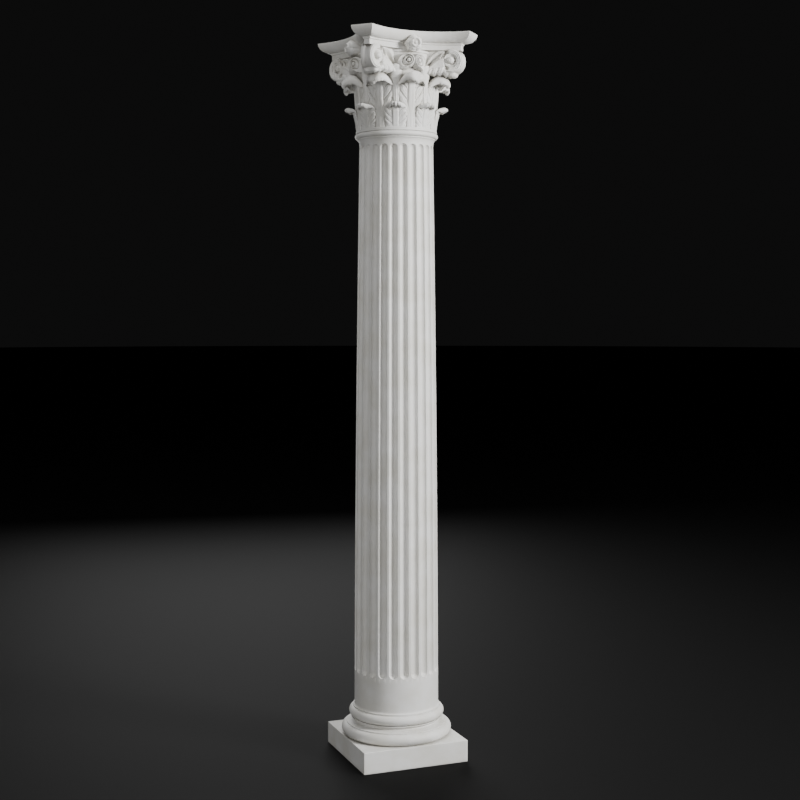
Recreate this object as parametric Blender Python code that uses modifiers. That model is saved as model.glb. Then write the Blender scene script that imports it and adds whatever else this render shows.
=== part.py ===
"""A Corinthian column: square plinth, Attic base, fluted shaft and cast capital.

Metres, +Z up, origin at the middle of the plinth's underside. An angle called
"turn" is measured about the axis from the front (-Y) towards +X.
"""
import math

import bmesh
import bpy
from mathutils import Matrix, Vector

# Plinth
PLINTH_SIDE = 0.461
PLINTH_HEIGHT = 0.091

# Clearance left between one piece and the next
JOINT_GAP = 0.0003

# Attic base, from the plinth upwards
LOWER_TORUS_RADIUS = 0.024
LOWER_TORUS_REACH = 0.2328
LOWER_FILLET_HEIGHT = 0.005
LOWER_FILLET_REACH = 0.2120
SCOTIA_HEIGHT = 0.0185
SCOTIA_DEPTH = 0.010
UPPER_FILLET_HEIGHT = 0.004
UPPER_FILLET_REACH = 0.1930
UPPER_TORUS_RADIUS = 0.0205
UPPER_TORUS_REACH = 0.2010

# Shaft
SHAFT_HEIGHT = 2.402
SHAFT_FOOT_RADIUS = 0.178
SHAFT_NECK_RADIUS = 0.1528
ENTASIS_POWER = 1.5
CINCTURE_HEIGHT = 0.006
CINCTURE_REACH = 0.184
FOOT_COVE_HEIGHT = 0.010
NECK_COVE_HEIGHT = 0.024
NECK_FILLET_HEIGHT = 0.004
NECK_FILLET_REACH = 0.1625
ASTRAGAL_RADIUS = 0.0095
ASTRAGAL_REACH = 0.1741

# Flutes, cut into the shaft with round ends
FLUTE_COUNT = 24
FLUTE_WIDTH_SHARE = 0.77
FLUTE_DEPTH_SHARE = 0.36
FLUTE_TURN = math.radians(4.7)
FLUTE_FOOT_MARGIN = 0.137
FLUTE_NECK_MARGIN = 0.005

# Capital: bell and the band under it
CAPITAL_HEIGHT = 0.3896
BAND_HEIGHT = 0.0205
BAND_REACH = 0.1675
BELL_RADIUS = 0.160
BELL_WAIST_RADIUS = 0.164
BELL_LIP_RADIUS = 0.177

# Capital: abacus, from its top downwards
OVOLO_HEIGHT = 0.040
OVOLO_FILLET_HEIGHT = 0.007
ABACUS_BAND_HEIGHT = 0.021
HORN_REACH = 0.3393
HORN_WIDTH = 0.0912
SIDE_REACH = 0.1933
BAND_HORN_REACH = 0.290
BAND_HORN_WIDTH = 0.024
BAND_SIDE_REACH = 0.165
FLEURON_RADIUS = 0.033
FLEURON_REACH = 0.223
FLEURON_RISE = 0.018

# Capital: leaves
LEAF_COUNT = 8
LEAF_THICKNESS = 0.010
LEAF_FOLD = 0.0035
LEAF_SINK = 0.002
LEAF_INSET = 0.007
LOBE_DEPTH = 0.16
LOWER_LEAF_HEIGHT = 0.087
LOWER_LEAF_WIDTH = 0.096
LOWER_LEAF_REACH = 0.2165
LOWER_LEAF_CURL = 0.034
LOWER_LEAF_SWEEP = math.radians(135)
UPPER_LEAF_HEIGHT = 0.210
UPPER_LEAF_WIDTH = 0.118
UPPER_LEAF_REACH = 0.239
UPPER_LEAF_CURL = 0.058
UPPER_LEAF_TIP = 0.008
UPPER_LEAF_STEM_WIDTH = 0.026
UPPER_LEAF_DROOP = 0.030
UPPER_LEAF_DOME = 0.90

# Capital: scrolls
VOLUTE_RADIUS = 0.046
VOLUTE_REACH = 0.291
VOLUTE_EDGE_WIDTH = 0.046
VOLUTE_FLARE = math.radians(18.4)
VOLUTE_SINK = 0.004
HELIX_RADIUS = 0.025
HELIX_OFFSET = 0.0225
HELIX_REACH = 0.196
HELIX_FACING = math.radians(32.0)
HELIX_DROP = 0.048
SCROLL_RELIEF = 0.005
STALK_TURN = math.radians(22.0)
STALK_RADIUS = 0.020
STALK_DROP = 0.074
STEM_RADIUS = 0.011
WEB_THICKNESS = 0.020

# Fineness of the round forms
BASE_STEPS = 22
SHAFT_STEPS = 24
BELL_STEPS = 14
BAND_STEPS = 26
SHAFT_STATIONS = 2

# Heights that follow from the sizes above
BASE_FOOT = PLINTH_HEIGHT + JOINT_GAP
BASE_HEIGHT = (2 * LOWER_TORUS_RADIUS + LOWER_FILLET_HEIGHT + SCOTIA_HEIGHT
               + UPPER_FILLET_HEIGHT + 2 * UPPER_TORUS_RADIUS)
SHAFT_FOOT = BASE_FOOT + BASE_HEIGHT + JOINT_GAP
CAPITAL_FOOT = SHAFT_FOOT + SHAFT_HEIGHT + JOINT_GAP
CAPITAL_TOP = CAPITAL_FOOT + CAPITAL_HEIGHT
ABACUS_HEIGHT = OVOLO_HEIGHT + OVOLO_FILLET_HEIGHT + ABACUS_BAND_HEIGHT
ABACUS_FOOT = CAPITAL_TOP - ABACUS_HEIGHT
LEAF_FOOT = CAPITAL_FOOT + BAND_HEIGHT
VOLUTE_HEIGHT = ABACUS_FOOT + VOLUTE_SINK - VOLUTE_RADIUS

PAINTED_WHITE = (0.80, 0.80, 0.78, 1.0)


def clear_scene():
    """Remove whatever the file opened with."""
    for item in list(bpy.data.objects):
        bpy.data.objects.remove(item, do_unlink=True)


def new_collection(name):
    """Add a collection under the scene's own."""
    collection = bpy.data.collections.new(name)
    bpy.context.scene.collection.children.link(collection)
    return collection


def new_material(name, shade):
    """Matte white paint, a shade lighter or darker for each piece."""
    material = bpy.data.materials.new(name)
    material.use_nodes = True
    shader = material.node_tree.nodes["Principled BSDF"]
    shader.inputs["Base Color"].default_value = tuple(shade * c for c in PAINTED_WHITE[:3]) + (1.0,)
    shader.inputs["Roughness"].default_value = 0.55
    shader.inputs["Metallic"].default_value = 0.0
    return material


def new_object(name, mesh, collection):
    """Wrap a mesh in an object of its collection."""
    item = bpy.data.objects.new(name, mesh)
    collection.objects.link(item)
    return item


def mesh_from_bmesh(name, shape):
    """Store a bmesh as a mesh with its faces pointing out."""
    bmesh.ops.recalc_face_normals(shape, faces=shape.faces)
    mesh = bpy.data.meshes.new(name)
    shape.to_mesh(mesh)
    shape.free()
    return mesh


def arc(centre, radii, start, end, count):
    """Points on an elliptical arc in the plane of a profile, angles in degrees."""
    points = []
    for i in range(count + 1):
        angle = math.radians(start + (end - start) * i / count)
        points.append((centre[0] + radii[0] * math.cos(angle), centre[1] + radii[1] * math.sin(angle)))
    return points


def turned(name, profile, steps, collection):
    """Turn a profile of (radius, height) points, listed from top to bottom, about the axis."""
    mesh = bpy.data.meshes.new(name)
    mesh.from_pydata([(r, 0.0, z) for r, z in profile], [(i, i + 1) for i in range(len(profile) - 1)], [])
    item = new_object(name, mesh, collection)
    screw = item.modifiers.new("Turn", 'SCREW')
    screw.steps = steps
    screw.render_steps = steps
    screw.use_merge_vertices = True
    screw.merge_threshold = 0.00001
    screw.use_smooth_shade = True
    return item


def applied(item):
    """Replace an object's mesh by its evaluated one and drop its modifiers."""
    bpy.context.view_layer.update()
    evaluated = item.evaluated_get(bpy.context.evaluated_depsgraph_get())
    mesh = bpy.data.meshes.new_from_object(evaluated)
    item.modifiers.clear()
    item.data = mesh
    return item


def direction(turn):
    """Unit vector in plan at an angle from the front."""
    return Vector((math.sin(turn), -math.cos(turn), 0.0))


def at_turn(turn):
    """Matrix that carries a shape made at the front (-Y) round to an angle."""
    return Matrix.Rotation(turn, 4, 'Z')


def merge_flat_faces(item):
    """Join the faces of one flat surface that a Boolean has split."""
    merge = item.modifiers.new("Flat faces", 'DECIMATE')
    merge.decimate_type = 'DISSOLVE'
    merge.angle_limit = math.radians(0.5)


def as_cutter(item):
    """Mark an object as a tool that is not part of the column."""
    item.hide_render = True
    item.display_type = 'WIRE'
    return item


def make_plinth(parts):
    """Square slab."""
    shape = bmesh.new()
    bmesh.ops.create_cube(shape, size=1.0)
    bmesh.ops.scale(shape, vec=(PLINTH_SIDE, PLINTH_SIDE, PLINTH_HEIGHT), verts=shape.verts)
    item = new_object("plinth", mesh_from_bmesh("plinth", shape), parts)
    item.location.z = PLINTH_HEIGHT / 2
    item.data.materials.append(new_material("plinth_paint", 0.96))


def base_profile():
    """Attic base from the top of the upper torus down to the plinth."""
    top = BASE_HEIGHT
    upper_centre = (UPPER_TORUS_REACH - UPPER_TORUS_RADIUS, top - UPPER_TORUS_RADIUS)
    upper_foot = top - 2 * UPPER_TORUS_RADIUS
    scotia_top = upper_foot - UPPER_FILLET_HEIGHT
    scotia_foot = scotia_top - SCOTIA_HEIGHT
    lower_centre = (LOWER_TORUS_REACH - LOWER_TORUS_RADIUS, LOWER_TORUS_RADIUS)
    profile = [(0.0, top)]
    profile += arc(upper_centre, (UPPER_TORUS_RADIUS, UPPER_TORUS_RADIUS), 90, -90, 4)
    profile.append((UPPER_FILLET_REACH, upper_foot))
    profile.append((UPPER_FILLET_REACH, scotia_top))
    throat = UPPER_FILLET_REACH - SCOTIA_DEPTH
    throat_height = scotia_top - 0.35 * SCOTIA_HEIGHT
    profile += arc((UPPER_FILLET_REACH, throat_height), (SCOTIA_DEPTH, scotia_top - throat_height), 120, 180, 2)
    lower_reach = LOWER_FILLET_REACH - throat
    profile += arc((LOWER_FILLET_REACH, throat_height), (lower_reach, throat_height - scotia_foot), 210, 270, 2)
    profile.append((LOWER_FILLET_REACH, 2 * LOWER_TORUS_RADIUS))
    profile += arc(lower_centre, (LOWER_TORUS_RADIUS, LOWER_TORUS_RADIUS), 90, -90, 4)
    profile.append((0.0, 0.0))
    return profile


def make_base(parts):
    """Round Attic base, turned."""
    item = turned("base", base_profile(), BASE_STEPS, parts)
    item.location.z = BASE_FOOT
    item.data.materials.append(new_material("base_paint", 0.98))


def shaft_radius(height):
    """Radius of the shaft's plain surface, with entasis, at a height above its foot."""
    foot = CINCTURE_HEIGHT + FOOT_COVE_HEIGHT
    neck = SHAFT_HEIGHT - 2 * ASTRAGAL_RADIUS - NECK_FILLET_HEIGHT - NECK_COVE_HEIGHT
    share = min(max((height - foot) / (neck - foot), 0.0), 1.0)
    return SHAFT_FOOT_RADIUS - (SHAFT_FOOT_RADIUS - SHAFT_NECK_RADIUS) * share ** ENTASIS_POWER


def flute_span():
    """Heights of the lower and upper ends of the flutes above the shaft's foot."""
    foot = CINCTURE_HEIGHT + FOOT_COVE_HEIGHT + FLUTE_FOOT_MARGIN
    neck = SHAFT_HEIGHT - 2 * ASTRAGAL_RADIUS - NECK_FILLET_HEIGHT - NECK_COVE_HEIGHT - FLUTE_NECK_MARGIN
    return foot, neck


def shaft_profile():
    """Cincture, cove, tapering body, cove, fillet and astragal, from top to bottom."""
    bead = ASTRAGAL_REACH - ASTRAGAL_RADIUS
    neck_fillet_top = SHAFT_HEIGHT - 2 * ASTRAGAL_RADIUS
    neck_cove_top = neck_fillet_top - NECK_FILLET_HEIGHT
    neck = neck_cove_top - NECK_COVE_HEIGHT
    foot = CINCTURE_HEIGHT + FOOT_COVE_HEIGHT
    profile = [(0.0, SHAFT_HEIGHT)]
    profile += arc((bead, SHAFT_HEIGHT - ASTRAGAL_RADIUS), (ASTRAGAL_RADIUS, ASTRAGAL_RADIUS), 90, -90, 4)
    profile.append((NECK_FILLET_REACH, neck_fillet_top))
    cove = NECK_FILLET_REACH - SHAFT_NECK_RADIUS
    profile += arc((NECK_FILLET_REACH, neck), (cove, NECK_COVE_HEIGHT), 90, 180, 2)
    lower, upper = flute_span()
    for i in range(SHAFT_STATIONS + 1):
        height = upper + (lower - upper) * i / SHAFT_STATIONS
        profile.append((shaft_radius(height), height))
    cove = CINCTURE_REACH - SHAFT_FOOT_RADIUS
    profile += arc((CINCTURE_REACH, foot), (cove, FOOT_COVE_HEIGHT), 180, 270, 2)
    profile.append((CINCTURE_REACH, 0.0))
    profile.append((0.0, 0.0))
    return profile


def flute_cutter(tools):
    """One rod with rounded ends that follows the entasis, cutting a flute at the front."""
    lower, upper = flute_span()
    pitch = 2 * math.pi / FLUTE_COUNT
    stations = []
    for end, inward in ((lower, 1.0), (upper, -1.0)):
        reach = 0.5 * FLUTE_WIDTH_SHARE * pitch * shaft_radius(end)
        ends = [(end + inward * reach * (1 - math.sin(a)), math.cos(a)) for a in (math.radians(82), math.radians(45))]
        stations += ends
    for i in range(SHAFT_STATIONS + 1):
        reach = 0.5 * FLUTE_WIDTH_SHARE * pitch * shaft_radius(lower)
        height = lower + reach + (upper - lower - 2 * reach) * i / SHAFT_STATIONS
        stations.append((height, 1.0))
    stations.sort()
    curve = bpy.data.curves.new("flute", 'CURVE')
    curve.dimensions = '3D'
    curve.bevel_depth = 1.0
    curve.bevel_resolution = 2
    curve.use_fill_caps = True
    spline = curve.splines.new('POLY')
    spline.points.add(len(stations) - 1)
    for point, (height, scale) in zip(spline.points, stations):
        surface = shaft_radius(height)
        half = 0.5 * FLUTE_WIDTH_SHARE * pitch * surface
        depth = 2 * half * FLUTE_DEPTH_SHARE
        round_radius = (half * half + depth * depth) / (2 * depth)
        point.co = (0.0, -(surface + scale * (round_radius - depth)), height, 1.0)
        point.radius = round_radius * scale
    rod = new_object("flute_rod", curve, tools)
    bpy.context.view_layer.update()
    mesh = bpy.data.meshes.new_from_object(rod.evaluated_get(bpy.context.evaluated_depsgraph_get()))
    bpy.data.objects.remove(rod)
    return mesh


def make_shaft(parts, tools):
    """Turned shaft with its ring of flutes cut out."""
    rod = flute_cutter(tools)
    ring = bmesh.new()
    for i in range(FLUTE_COUNT):
        copy = rod.copy()
        copy.transform(at_turn(FLUTE_TURN + 2 * math.pi * i / FLUTE_COUNT))
        ring.from_mesh(copy)
    bmesh.ops.remove_doubles(ring, verts=ring.verts, dist=0.00001)
    cutter = as_cutter(new_object("flute_ring", mesh_from_bmesh("flute_ring", ring), tools))
    item = turned("shaft", shaft_profile(), SHAFT_STEPS, parts)
    item.rotation_euler.z = FLUTE_TURN + math.pi / FLUTE_COUNT
    item.location.z = SHAFT_FOOT
    cutter.location.z = SHAFT_FOOT
    cut = item.modifiers.new("Flutes", 'BOOLEAN')
    cut.operation = 'DIFFERENCE'
    cut.solver = 'EXACT'
    cut.object = cutter
    merge_flat_faces(item)
    item.data.materials.append(new_material("shaft_paint", 1.0))


def bell_profile():
    """Bell wall and flaring lip, from inside the abacus down into the band."""
    rise = ABACUS_FOOT - CAPITAL_FOOT
    lip = 0.5 * ABACUS_BAND_HEIGHT
    profile = [(0.0, rise + lip), (BELL_LIP_RADIUS - 0.004, rise + lip), (BELL_LIP_RADIUS, rise - lip)]
    profile += [(BELL_WAIST_RADIUS, rise - 6 * lip), (BELL_RADIUS, 0.5 * BAND_HEIGHT), (0.0, 0.5 * BAND_HEIGHT)]
    return profile


def band_profile():
    """Plain band under the leaves."""
    return [(0.0, BAND_HEIGHT), (BAND_REACH, BAND_HEIGHT), (BAND_REACH, 0.0), (0.0, 0.0)]


def abacus_outline(horn_reach, horn_width, side_reach, side_steps):
    """Plan of the abacus at one level: four concave sides between four cut-off horns."""
    half = 0.5 * horn_width
    corner = (horn_reach - half) * math.sqrt(0.5)
    depth = (horn_reach + half) * math.sqrt(0.5)
    sag = depth - side_reach
    radius = (corner * corner + sag * sag) / (2 * sag)
    outline = []
    for quarter in range(4):
        turn = quarter * math.pi / 2
        for i in range(side_steps + 1):
            along = corner * (2 * i / side_steps - 1)
            out = side_reach + radius - math.sqrt(radius * radius - along * along)
            outline.append(at_turn(turn) @ Vector((along, -out, 0.0)))
    return outline


def abacus_mesh():
    """Loft of the abacus from its band up through the fillet and the ovolo."""
    side_steps = 6
    band = (BAND_HORN_REACH, BAND_HORN_WIDTH, BAND_SIDE_REACH)
    top = (HORN_REACH, HORN_WIDTH, SIDE_REACH)
    lip = 0.004
    levels = [(0.0, band), (ABACUS_BAND_HEIGHT, band)]
    fillet = (BAND_HORN_REACH + lip, BAND_HORN_WIDTH + 2 * lip, BAND_SIDE_REACH + lip)
    levels.append((ABACUS_BAND_HEIGHT, fillet))
    levels.append((ABACUS_BAND_HEIGHT + OVOLO_FILLET_HEIGHT, fillet))
    for angle in (30, 60, 90):
        share = math.sin(math.radians(angle))
        rise = 1 - math.cos(math.radians(angle))
        sizes = tuple(a + (b - a) * share for a, b in zip(fillet, top))
        levels.append((ABACUS_BAND_HEIGHT + OVOLO_FILLET_HEIGHT + rise * OVOLO_HEIGHT, sizes))
    shape = bmesh.new()
    rings = []
    for height, sizes in levels:
        outline = abacus_outline(*sizes, side_steps)
        rings.append([shape.verts.new(point + Vector((0.0, 0.0, height))) for point in outline])
    for lower, upper in zip(rings, rings[1:]):
        for i in range(len(lower)):
            j = (i + 1) % len(lower)
            shape.faces.new((lower[i], lower[j], upper[j], upper[i]))
    shape.faces.new(rings[0])
    shape.faces.new(rings[-1])
    mesh = mesh_from_bmesh("abacus", shape)
    mesh.transform(Matrix.Translation((0.0, 0.0, ABACUS_FOOT)))
    return mesh


def smooth_step(share):
    """Ease from 0 to 1."""
    share = min(max(share, 0.0), 1.0)
    return share * share * (3 - 2 * share)


def lobes(share, count):
    """Scalloped edge: how far the leaf reaches sideways, 1 at a lobe and less between two."""
    return 1 - LOBE_DEPTH * (0.5 + 0.5 * math.cos(2 * math.pi * count * share))


def lower_leaf_point(across, along):
    """Lower leaf: it hugs the bell, then flares out to a lip that turns down."""
    spring = 0.50
    foot = BAND_REACH - LEAF_INSET
    lean = 0.2 * (LOWER_LEAF_REACH - BAND_REACH)
    swing = LOWER_LEAF_REACH - BAND_REACH - lean
    rise = min(along / spring, 1.0)
    bend = max((along - spring) / (1 - spring), 0.0)
    angle = LOWER_LEAF_SWEEP * bend
    out = foot + lean * rise * rise + swing * (1 - math.cos(angle)) / (1 - math.cos(LOWER_LEAF_SWEEP))
    straight = LOWER_LEAF_HEIGHT - LOWER_LEAF_CURL
    height = straight * rise + (LOWER_LEAF_CURL - 0.5 * LEAF_THICKNESS) * math.sin(angle)
    taper = 0.86 + 0.14 * smooth_step(along / 0.4) - 0.50 * smooth_step((along - 0.60) / 0.40)
    wide = 0.5 * LOWER_LEAF_WIDTH * taper * lobes(along, 3) * across
    fold = LEAF_FOLD * math.cos(2 * math.pi * across) * (1 - bend) * min(rise / 0.2, 1.0)
    side = bend * abs(across) ** 3
    return wide, out + fold - 0.3 * swing * side, height - 0.5 * LOWER_LEAF_CURL * side


def upper_leaf_point(across, along):
    """Upper leaf: a stem between the lower leaves that opens into a leaf with a domed hood."""
    spring = 0.54
    hang = 0.94
    foot = BAND_REACH - LEAF_INSET
    lean = 0.1 * (UPPER_LEAF_REACH - BAND_REACH)
    swing = UPPER_LEAF_REACH - BAND_REACH - lean
    rise = min(along / spring, 1.0)
    bend = min(max((along - spring) / (hang - spring), 0.0), 1.0)
    tip = max((along - hang) / (1 - hang), 0.0)
    bend *= 0.88 + 0.10 * math.sin(math.pi * abs(across))
    angle = math.pi * bend
    dome = math.sqrt(1 - UPPER_LEAF_DOME * across * across)
    side = bend * abs(across) ** 3
    out = foot + lean * rise ** 3 + 0.5 * swing * (1 - math.cos(angle)) * (1 - 0.25 * side) - 0.1 * swing * tip
    straight = UPPER_LEAF_HEIGHT - UPPER_LEAF_CURL
    arch = math.sin(angle) ** (1.0 if bend < 0.5 else 1.3)
    height = straight * rise + (UPPER_LEAF_CURL - 0.5 * LEAF_THICKNESS) * arch * dome
    height -= UPPER_LEAF_TIP * tip + UPPER_LEAF_DROOP * side
    stem = UPPER_LEAF_STEM_WIDTH / UPPER_LEAF_WIDTH
    opening = smooth_step((along - 0.24) / 0.16)
    taper = stem + (0.92 - stem) * opening + 0.08 * smooth_step((along - 0.5) / 0.2)
    taper -= 0.30 * smooth_step((along - 0.80) / 0.20)
    wide = 0.5 * UPPER_LEAF_WIDTH * taper * (1 - opening * (1 - lobes(along, 4))) * across
    fold = LEAF_FOLD * math.cos(2 * math.pi * across) * (1 - bend) * min(rise / 0.2, 1.0)
    return wide, out + fold, height


def leaf_mesh(name, leaf_point, columns, rows):
    """A leaf as a thickened grid, wrapped round the bell at the front."""
    shape = bmesh.new()
    bmesh.ops.create_grid(shape, x_segments=columns, y_segments=rows, size=1.0)
    for vert in shape.verts:
        wide, out, height = leaf_point(vert.co.x, 0.5 * (vert.co.y + 1))
        plan = direction(wide / out) * out
        vert.co = (plan.x, plan.y, LEAF_FOOT + height - LEAF_SINK)
    bmesh.ops.recalc_face_normals(shape, faces=shape.faces)
    mesh = bpy.data.meshes.new(name)
    shape.to_mesh(mesh)
    shape.free()
    return mesh


def solid_leaf(name, leaf_point, columns, rows, tools):
    """The leaf's closed solid."""
    item = new_object(name, leaf_mesh(name, leaf_point, columns, rows), tools)
    thick = item.modifiers.new("Thickness", 'SOLIDIFY')
    thick.thickness = LEAF_THICKNESS
    thick.offset = 0.0
    return applied(item)


def spiral_band(outer, inner, turns, start, width, count):
    """Closed outline of a flat band that winds inwards, as (x, y) points."""
    outside = []
    inside = []
    for i in range(count + 1):
        share = i / count
        radius = outer + (inner - outer) * share
        angle = start - 2 * math.pi * turns * share
        thick = width * (1 - 0.45 * share)
        outside.append((radius * math.cos(angle), radius * math.sin(angle)))
        inside.append(((radius - thick) * math.cos(angle), (radius - thick) * math.sin(angle)))
    return outside + inside[::-1]


def flat_piece(name, outline, thickness, tools):
    """Flat piece of an outline in the XY plane, centred on it in thickness."""
    curve = bpy.data.curves.new(name, 'CURVE')
    curve.dimensions = '2D'
    curve.fill_mode = 'BOTH'
    curve.extrude = 0.5 * thickness
    spline = curve.splines.new('POLY')
    spline.points.add(len(outline) - 1)
    for point, (x, y) in zip(spline.points, outline):
        point.co = (x, y, 0.0, 1.0)
    spline.use_cyclic_u = True
    return welded_mesh(name, curve, tools)


def welded_mesh(name, curve, tools):
    """Turn a curve into a closed mesh with its caps welded on."""
    item = new_object(name, curve, tools)
    bpy.context.view_layer.update()
    mesh = bpy.data.meshes.new_from_object(item.evaluated_get(bpy.context.evaluated_depsgraph_get()))
    bpy.data.objects.remove(item)
    shape = bmesh.new()
    shape.from_mesh(mesh)
    bmesh.ops.remove_doubles(shape, verts=shape.verts, dist=0.00001)
    return mesh_from_bmesh(name, shape)


def volute_flank(out):
    """Half the width of a horn scroll at a distance from the axis: it narrows outwards."""
    return 0.5 * VOLUTE_EDGE_WIDTH + math.tan(VOLUTE_FLARE) * (VOLUTE_REACH - out)


def volute_meshes(tools):
    """Horn scroll at the front: a drum that narrows outwards, with a raised spiral on each flank."""
    centre = VOLUTE_REACH - VOLUTE_RADIUS
    drum = bmesh.new()
    bmesh.ops.create_cone(drum, cap_ends=True, segments=12, radius1=VOLUTE_RADIUS, radius2=VOLUTE_RADIUS, depth=2.0)
    for vert in drum.verts:
        out = centre + vert.co.x
        vert.co = (vert.co.z * volute_flank(out), -out, VOLUTE_HEIGHT + vert.co.y)
    meshes = [mesh_from_bmesh("volute_drum", drum)]
    outline = spiral_band(VOLUTE_RADIUS - 0.002, 0.4 * VOLUTE_RADIUS, 1.15, math.radians(115), 0.3 * VOLUTE_RADIUS, 6)
    for side in (-1.0, 1.0):
        band = flat_piece("volute_spiral", outline, 2 * SCROLL_RELIEF, tools)
        for vert in band.vertices:
            out = centre + vert.co.x
            vert.co = (side * (volute_flank(out) + vert.co.z), -out, VOLUTE_HEIGHT + vert.co.y)
        if side < 0:
            band.flip_normals()
        meshes.append(band)
    return meshes


def helix_mesh(side, tools):
    """Small scroll, a disc with a raised rim and an eye, that faces partly away from its twin."""
    radius = HELIX_RADIUS
    depth = HELIX_REACH - BELL_RADIUS + 0.01
    profile = [(0.0, depth), (0.3 * radius, depth), (0.5 * radius, depth - SCROLL_RELIEF), (0.8 * radius, depth)]
    profile += [(radius, depth - 0.5 * SCROLL_RELIEF), (radius, 0.0), (0.0, 0.0)]
    coil = applied(turned("helix", profile, 8, tools))
    mesh = coil.data
    bpy.data.objects.remove(coil)
    mesh.transform(Matrix.Rotation(math.pi / 2, 4, 'X'))
    mesh.transform(at_turn(side * HELIX_FACING) @ Matrix.Translation((0.0, depth, 0.0)))
    mesh.transform(Matrix.Translation((side * HELIX_OFFSET, -HELIX_REACH, ABACUS_FOOT - HELIX_DROP)))
    return mesh


def stem_mesh(name, points, radii, fineness, tools):
    """Tapering stem through a few points."""
    curve = bpy.data.curves.new(name, 'CURVE')
    curve.dimensions = '3D'
    curve.bevel_depth = 1.0
    curve.bevel_resolution = fineness
    curve.use_fill_caps = True
    spline = curve.splines.new('POLY')
    spline.points.add(len(points) - 1)
    for point, place, radius in zip(spline.points, points, radii):
        point.co = (*place, 1.0)
        point.radius = radius
    return welded_mesh(name, curve, tools)


def face_stems(side, tools):
    """Stalk, the volute's web and the helix's stem, on one side of a face's middle."""
    up = Vector((0.0, 0.0, 1.0))
    root = direction(side * STALK_TURN)
    flank = direction(side * (math.pi / 4 - math.pi / 2))
    stalk_out = BELL_WAIST_RADIUS + 0.3 * STALK_RADIUS
    stalk_top = ABACUS_FOOT - STALK_DROP
    foot = root * BELL_RADIUS + up * (LEAF_FOOT + LOWER_LEAF_HEIGHT)
    mouth = root * stalk_out + up * stalk_top
    meshes = [stem_mesh("stalk", [foot, mouth], (0.5 * STALK_RADIUS, STALK_RADIUS), 1, tools)]
    drum_out = VOLUTE_REACH - VOLUTE_RADIUS
    drum_side = direction(side * math.pi / 4) * drum_out + flank * (volute_flank(drum_out) - 0.6 * WEB_THICKNESS)
    start = root * stalk_out
    length = (drum_side - start).length
    end = length - 0.5 * VOLUTE_RADIUS
    lower = VOLUTE_HEIGHT - 0.8 * VOLUTE_RADIUS
    outline = [(-0.6 * STALK_RADIUS, stalk_top - 1.2 * STALK_RADIUS), (0.6 * length, lower - 0.1 * VOLUTE_RADIUS)]
    outline += [(end, lower), (end, ABACUS_FOOT - 0.1 * VOLUTE_RADIUS), (0.25 * length, ABACUS_FOOT + VOLUTE_SINK)]
    outline += [(0.1 * length, ABACUS_FOOT - 0.6 * STALK_RADIUS), (-0.6 * STALK_RADIUS, stalk_top)]
    web = flat_piece("volute_web", outline, WEB_THICKNESS, tools)
    along = (drum_side - start).normalized()
    across = up.cross(along)
    web.transform(Matrix((along, up, -across)).transposed().to_4x4())
    web.transform(Matrix.Translation(start))
    meshes.append(web)
    helix_side = Vector((side * (HELIX_OFFSET + 0.4 * HELIX_RADIUS), 0.6 * STEM_RADIUS - HELIX_REACH, 0.0))
    helix_top = helix_side + up * (ABACUS_FOOT - HELIX_DROP + 0.4 * HELIX_RADIUS)
    meshes.append(stem_mesh("helix_stem", [mouth, helix_top], (STEM_RADIUS, 0.8 * STEM_RADIUS), 0, tools))
    return meshes


def fleuron_mesh(tools):
    """Flower on the middle of one side of the abacus: a dished round with a raised ring and a bud."""
    depth = FLEURON_REACH - BAND_SIDE_REACH + 0.02
    profile = [(0.0, depth), (0.22 * FLEURON_RADIUS, depth - 0.002), (0.3 * FLEURON_RADIUS, depth - 0.008)]
    profile += [(0.6 * FLEURON_RADIUS, depth - 0.002), (FLEURON_RADIUS, depth - 0.012), (FLEURON_RADIUS, 0.0), (0.0, 0.0)]
    flower = applied(turned("fleuron", profile, 8, tools))
    mesh = flower.data
    bpy.data.objects.remove(flower)
    mesh.transform(Matrix.Rotation(math.pi / 2, 4, 'X'))
    mesh.transform(Matrix.Translation((0.0, depth - FLEURON_REACH, ABACUS_FOOT + FLEURON_RISE)))
    return mesh


def placed(mesh, turn):
    """Copy of a mesh carried round the axis."""
    copy = mesh.copy()
    copy.transform(at_turn(turn))
    return copy


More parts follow.
